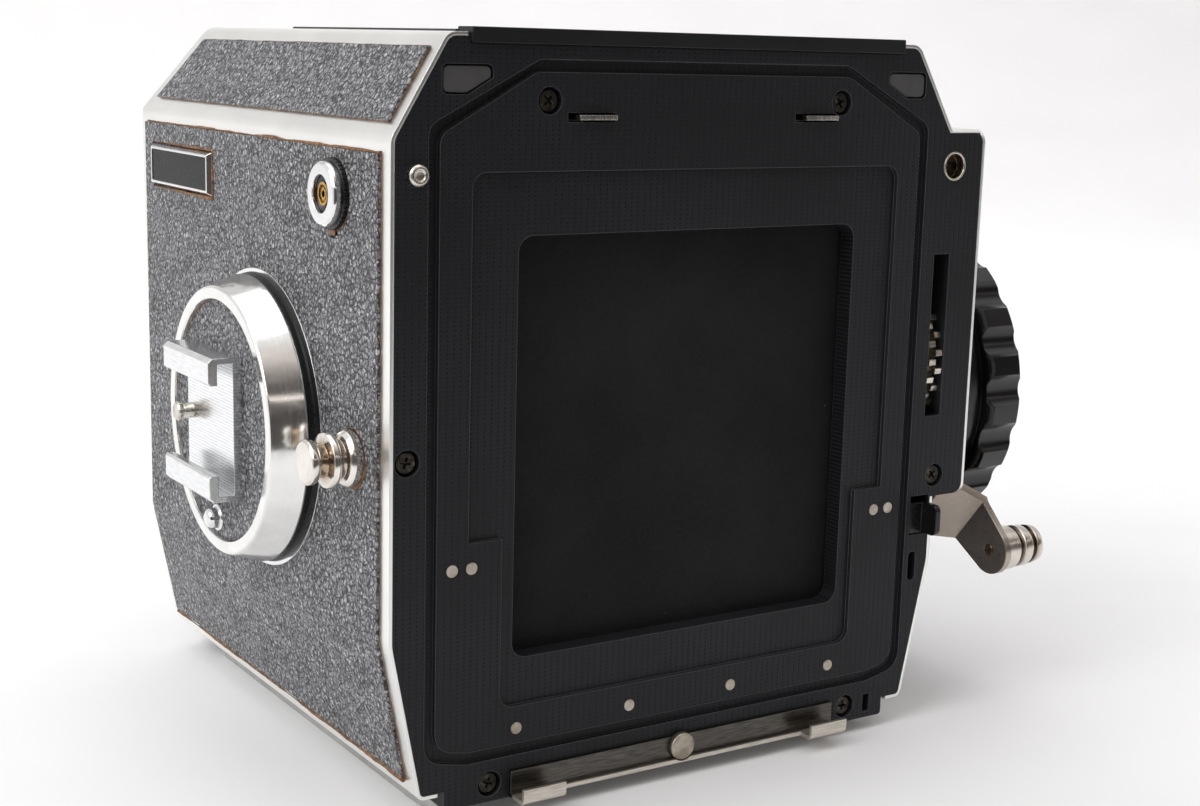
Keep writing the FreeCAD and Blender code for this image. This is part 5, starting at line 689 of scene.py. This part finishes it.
def dial_scale(black):
    """Exposure times filled with white on the dial, and the black index line on the gear housing."""
    white = moulded("white_filling_enamel", "#dcdcd8")
    face_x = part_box("speed_dial")[1].x - 0.6 * MM
    figure_height, figure_radius, sweep = 3.6 * MM, 16.6 * MM, 300
    times = ("1", "2", "4", "8", "15", "30", "60", "125", "250", "500")
    # Turns lettering from the floor to a face that looks along X
    standing = Matrix(((0, 0, 1), (1, 0, 0), (0, 1, 0))).to_4x4()
    mesh = bmesh.new()
    for number, text in enumerate(times):
        figure = bpy.data.curves.new("figure", "FONT")
        figure.body = text
        figure.size = figure_height
        figure.extrude = 0.03 * MM
        figure.align_x = "CENTER"
        figure.align_y = "CENTER"
        drawn = put("figure", figure)
        shape = bpy.data.meshes.new_from_object(drawn.evaluated_get(bpy.context.evaluated_depsgraph_get()))
        bpy.data.objects.remove(drawn)
        angle = math.radians(sweep * (number / (len(times) - 1) - 0.5))
        centre = Matrix.Translation((face_x, DIAL_AXIS.y, DIAL_AXIS.z))
        outwards = Matrix.Translation((0, 0, figure_radius))
        shape.transform(centre @ Matrix.Rotation(angle, 4, "X") @ outwards @ standing)
        mesh.from_mesh(shape)
    shape = bpy.data.meshes.new("dial_figures")
    mesh.to_mesh(shape)
    mesh.free()
    figures = put("dial_figures", shape)
    shape.materials.clear()
    shape.materials.append(white)
    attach(figures, "dial")
    # The index is a thin round plate, drawn out upwards to a long oval
    half_line, index_height, stretch = 0.5 * MM, 28 * MM, 3.2
    line = bmesh.new()
    bmesh.ops.create_cone(line, cap_ends=True, segments=24, radius1=half_line, radius2=half_line,
                          depth=0.06 * MM)
    shape = bpy.data.meshes.new("index_line")
    line.to_mesh(shape)
    line.free()
    housing_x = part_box("gear_housing")[1].x
    shape.transform(Matrix.Translation((housing_x, DIAL_AXIS.y, DIAL_AXIS.z + index_height))
                    @ Matrix.Diagonal((1, 1, stretch, 1)) @ Matrix.Rotation(math.radians(90), 4, "Y"))
    shape.materials.append(black)
    index = put("index_line", shape)
    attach(index, "camera_body")


def dress_frame():
    """Gives every node its finish and adds the pieces that only the scene has."""
    leather = grained_leather()
    cloth = shutter_cloth()
    chrome = satin_chrome()
    bright = bright_chrome()
    nickel = worn_nickel("handled_nickel_plate", "#b3aba0", "#dcd7cf")
    german_silver = worn_nickel("rivet_german_silver", "#9b9184", "#c4bbaf", 0.38)
    black = enamel("sprayed_black_enamel", "#141416", 0.3)
    casting = enamel("blackened_light_alloy_casting", "#070708", 0.75, 0.15)
    paint(leather, "left_covering", "right_covering", "slope_coverings", "front_covering", "cap_covering")
    paint(chrome, "left_shell", "right_shell", "front_plate")
    ease(chrome, 0.12, "gear_housing")
    ease(bright, 0.1, "badge_frame", "sync_collar", "button_collar", "check_button", "mount_base")
    raised_rim(bright)
    paint(dotted_enamel(), "rear_plate")
    ease(enamel("satin_grey_enamel", "#1d1f21", 0.42, 0.3), 0.15, "top_bar")
    paint(casting, "chassis", "gear_bridge", "screen_frame", "mirror_carrier")
    ease(moulded("cast_rubber_insert", "#535353", 0.62), 0.12, "corner_inserts")
    ease(blacked_steel(), 0.05, "plate_screws")
    ease(nickel, 0.08, "interlock_pin", "shoe_stop")
    ease(german_silver, 0.08, "gate_rivets", "lower_bar_rivet")
    ring = spun("locating_ring_brass", "#b9b2a6", "#dcd7ce", RING_AXIS, axis=1, rough=0.25,
                hollow_tint=(1.75, 1.85, 0.4, 5, "#4a3b31"))
    ease(ring, 0.05, "locating_ring")
    stud = spun("turned_stud_nickel", "#dad4cc", "#f0ece6", STUD_AXIS, axis=0, rough=0.16,
                hollow_tint=(2.2, 3.4, -6.2, -2.2, "#b4a08a"))
    ease(stud, 0.08, "strap_studs")
    grip = spun("turned_grip_nickel", "#cdc6bc", "#e6e1d9", GRIP_AXIS, axis=0, rough=0.22,
                hollow_tint=(2.8, 3.2, 0.5, 7.2, "#4d3c2d"))
    ease(grip, 0.08, "crank_grip")
    ease(brushed("hardened_blade_steel", "#8a857d", "#e3e0da", (12, 12, 1), 0.28), 0.06, "hook_slider")
    paint(nickel, "tripod_socket")
    ease(black, 0.12, "back_catch", "cap_base_ring", "sync_base", "focus_ring", "top_cover")
    ease(latch_steel(), 0.08, "lower_bar")
    ease(brushed("base_plate_alloy", "#b5b4b0", "#d0cfcb", (1, 12, 12)), 0.2, "base_plate")
    paint(brushed("ground_roller_steel", "#8d8c8a", "#b8b7b4", (1, 10, 10)), "upper_roller", "lower_roller")
    paint(brushed("hobbed_gear_steel", "#a59d90", "#e6e0d4", (1, 8, 8), 0.3), "transport_gear", "wind_sleeve")
    ease(spun("spun_cap_alloy", "#e6e6e4", "#f2f2f0", CAP_AXIS, axis=0, rough=0.13), 0.15, "battery_cap")
    ease(milled_shoe(), 0.1, "accessory_shoe")
    paint(enamel("badge_enamel", "#08080a", 0.3, 0.12), "badge_field")
    paint(moulded("hard_insulator", "#15120f", 0.4), "sync_insulator")
    paint(gilt(), "sync_contact")
    paint(brushed("copper_clip", "#4f3525", "#8b6242", (1, 4, 4)), "sync_clip")
    ease(brushed("plated_crank_steel", "#a89e94", "#b3a99f", (1, 2, 6), 0.3), 0.1, "crank_arm")
    ease(worn_nickel("brown_pin_steel", "#4c3724", "#7d6a55"), 0.05, "grip_pin")
    dial = spun("black_anodised_dial", "#0b0b0c", "#0e0e0f", DIAL_AXIS, axis=0, rough=0.22, metallic=0.0)
    ease(dial, 0.25, "speed_dial")
    ease(spun("turned_mount_brass", "#c6c4c0", "#d8d6d2", LENS_AXIS, axis=1), 0.1, "lens_mount")
    ease(bright, 0.1, "shutter_release")
    paint(ground_glass(), "focusing_screen")
    paint(silvered_glass(), "mirror_glass")
    paint(brushed("battery_can", "#8b8b8a", "#bcbcba", (8, 8, 1)), "battery")
    paint(moulded("holder_moulding", "#18181a"), "battery_holder")
    shutter_curtain(cloth)
    rolled_curtain(cloth)
    glue_lines()
    dial_scale(black)


# Backdrop and light
def stage():
    """White paper, laid under the object and swept up into a wall behind it, as the photographer looks."""
    near, bend_start, bend, top, half_width = -0.2, 0.9, 0.5, 2.2, 2.6
    bend_steps = 10
    profile = [(near, 0.0), (bend_start, 0.0)]
    for i in range(1, bend_steps + 1):
        angle = math.radians(90 * i / bend_steps)
        profile.append((bend_start + bend * math.sin(angle), bend - bend * math.cos(angle)))
    profile.append((bend_start + bend, top))
    turn = Matrix.Rotation(math.radians(-33), 4, "Z")
    points = [turn @ Vector((x, y, z)) for y, z in profile for x in (-half_width, half_width)]
    faces = [(2 * i, 2 * i + 1, 2 * i + 3, 2 * i + 2) for i in range(len(profile) - 1)]
    cove = bpy.data.meshes.new("paper_cove")
    cove.from_pydata(points, [], faces)
    for face in cove.polygons:
        face.use_smooth = True
    paper = put("paper_cove", cove)
    material, tree, shader, place = start("seamless_white_paper")
    fibre = add(tree, "ShaderNodeTexNoise", {"Vector": place, "Scale": 1 / (60 * MM), "Detail": 2.0})
    shade = add(tree, "ShaderNodeValToRGB", {"Fac": fibre}, stops=[(0.3, "#ececed"), (0.7, "#f1f1f2")])
    # The paper glows a little with distance, as if lit from behind, more on the left
    away, across = (0.545, 0.839, 0), (0.839, -0.545, 0)
    back = add(tree, "ShaderNodeVectorMath", {0: place, 1: away}, operation="DOT_PRODUCT")
    deep = add(tree, "ShaderNodeMapRange", {"Value": back, "From Min": -0.1, "From Max": 0.6,
                                            "To Min": 0.03, "To Max": 0.22})
    side = add(tree, "ShaderNodeVectorMath", {0: place, 1: across}, operation="DOT_PRODUCT")
    left = add(tree, "ShaderNodeMapRange", {"Value": side, "From Min": -0.5, "From Max": 0.5,
                                            "To Min": 1.2, "To Max": 0.8})
    glow = add(tree, "ShaderNodeMath", {0: deep, 1: left}, operation="MULTIPLY")
    wire(tree, shader, {"Base Color": shade, "Roughness": 0.8, "Specular IOR Level": 0.15,
                        "Emission Color": colour("#ffffff"), "Emission Strength": glow})
    cove.materials.append(material)


def softbox(name, place, width, power):
    """A square softbox that looks at the object."""
    aim = Vector((0, 0, 50 * MM))
    lamp = bpy.data.lights.new(name, "AREA")
    lamp.shape = "RECTANGLE"
    lamp.size = width
    lamp.size_y = width
    lamp.energy = power
    made = put(name, lamp)
    made.location = place
    made.rotation_euler = (aim - Vector(place)).to_track_quat("-Z", "Y").to_euler()


def light():
    """A white tent of light that is open, and so dark, towards the photographer."""
    world = bpy.data.worlds.new("light_tent")
    world.use_nodes = True
    bpy.context.scene.world = world
    tree = world.node_tree
    ray = add(tree, "ShaderNodeTexCoord").outputs["Generated"]
    axes = add(tree, "ShaderNodeSeparateXYZ", {"Vector": ray})
    front = add(tree, "ShaderNodeMapRange", {"Value": axes.outputs["Y"], "From Min": -0.2, "From Max": -0.5},
                interpolation_type="SMOOTHSTEP")
    # Dark but for the strip of a window behind the photographer, and lighter overhead
    room = add(tree, "ShaderNodeMapRange", {"Value": axes.outputs["Z"], "From Min": 0.5, "From Max": 1.0,
                                            "To Min": 0.08, "To Max": 0.9}, interpolation_type="SMOOTHSTEP")
    off_strip = add(tree, "ShaderNodeMath", {0: axes.outputs["Z"], 1: 0.4}, operation="SUBTRACT")
    near_strip = add(tree, "ShaderNodeMath", {0: off_strip}, operation="ABSOLUTE")
    strip = add(tree, "ShaderNodeMapRange", {"Value": near_strip, "From Min": 0.03, "From Max": 0.015,
                                             "To Max": 2.0})
    view = add(tree, "ShaderNodeMath", {0: room, 1: strip}, operation="ADD")
    power = add(tree, "ShaderNodeMix", {"Factor": front, "A": 0.92, "B": view})
    tint = add(tree, "ShaderNodeMix", {"Factor": front, "A": colour("#ffffff"), "B": colour("#fff4ee")},
               data_type="RGBA")
    wire(tree, tree.nodes["Background"], {"Color": tint, "Strength": power})
    # What the camera itself sees behind the paper is plain white
    seen = add(tree, "ShaderNodeLightPath").outputs["Is Camera Ray"]
    plain = add(tree, "ShaderNodeBackground", {"Color": colour("#ffffff"), "Strength": 0.95})
    both = add(tree, "ShaderNodeMixShader", {0: seen, 1: tree.nodes["Background"], 2: plain})
    wire(tree, tree.nodes["World Output"], {"Surface": both})
    softbox("left_softbox", (-0.9, -0.15, 0.75), width=0.8, power=6)
    softbox("top_softbox", (0.1, 0.2, 1.3), width=1.2, power=5)
    bpy.context.scene.view_settings.view_transform = "Standard"


stand_camera()
dress_frame()
stage()
light()
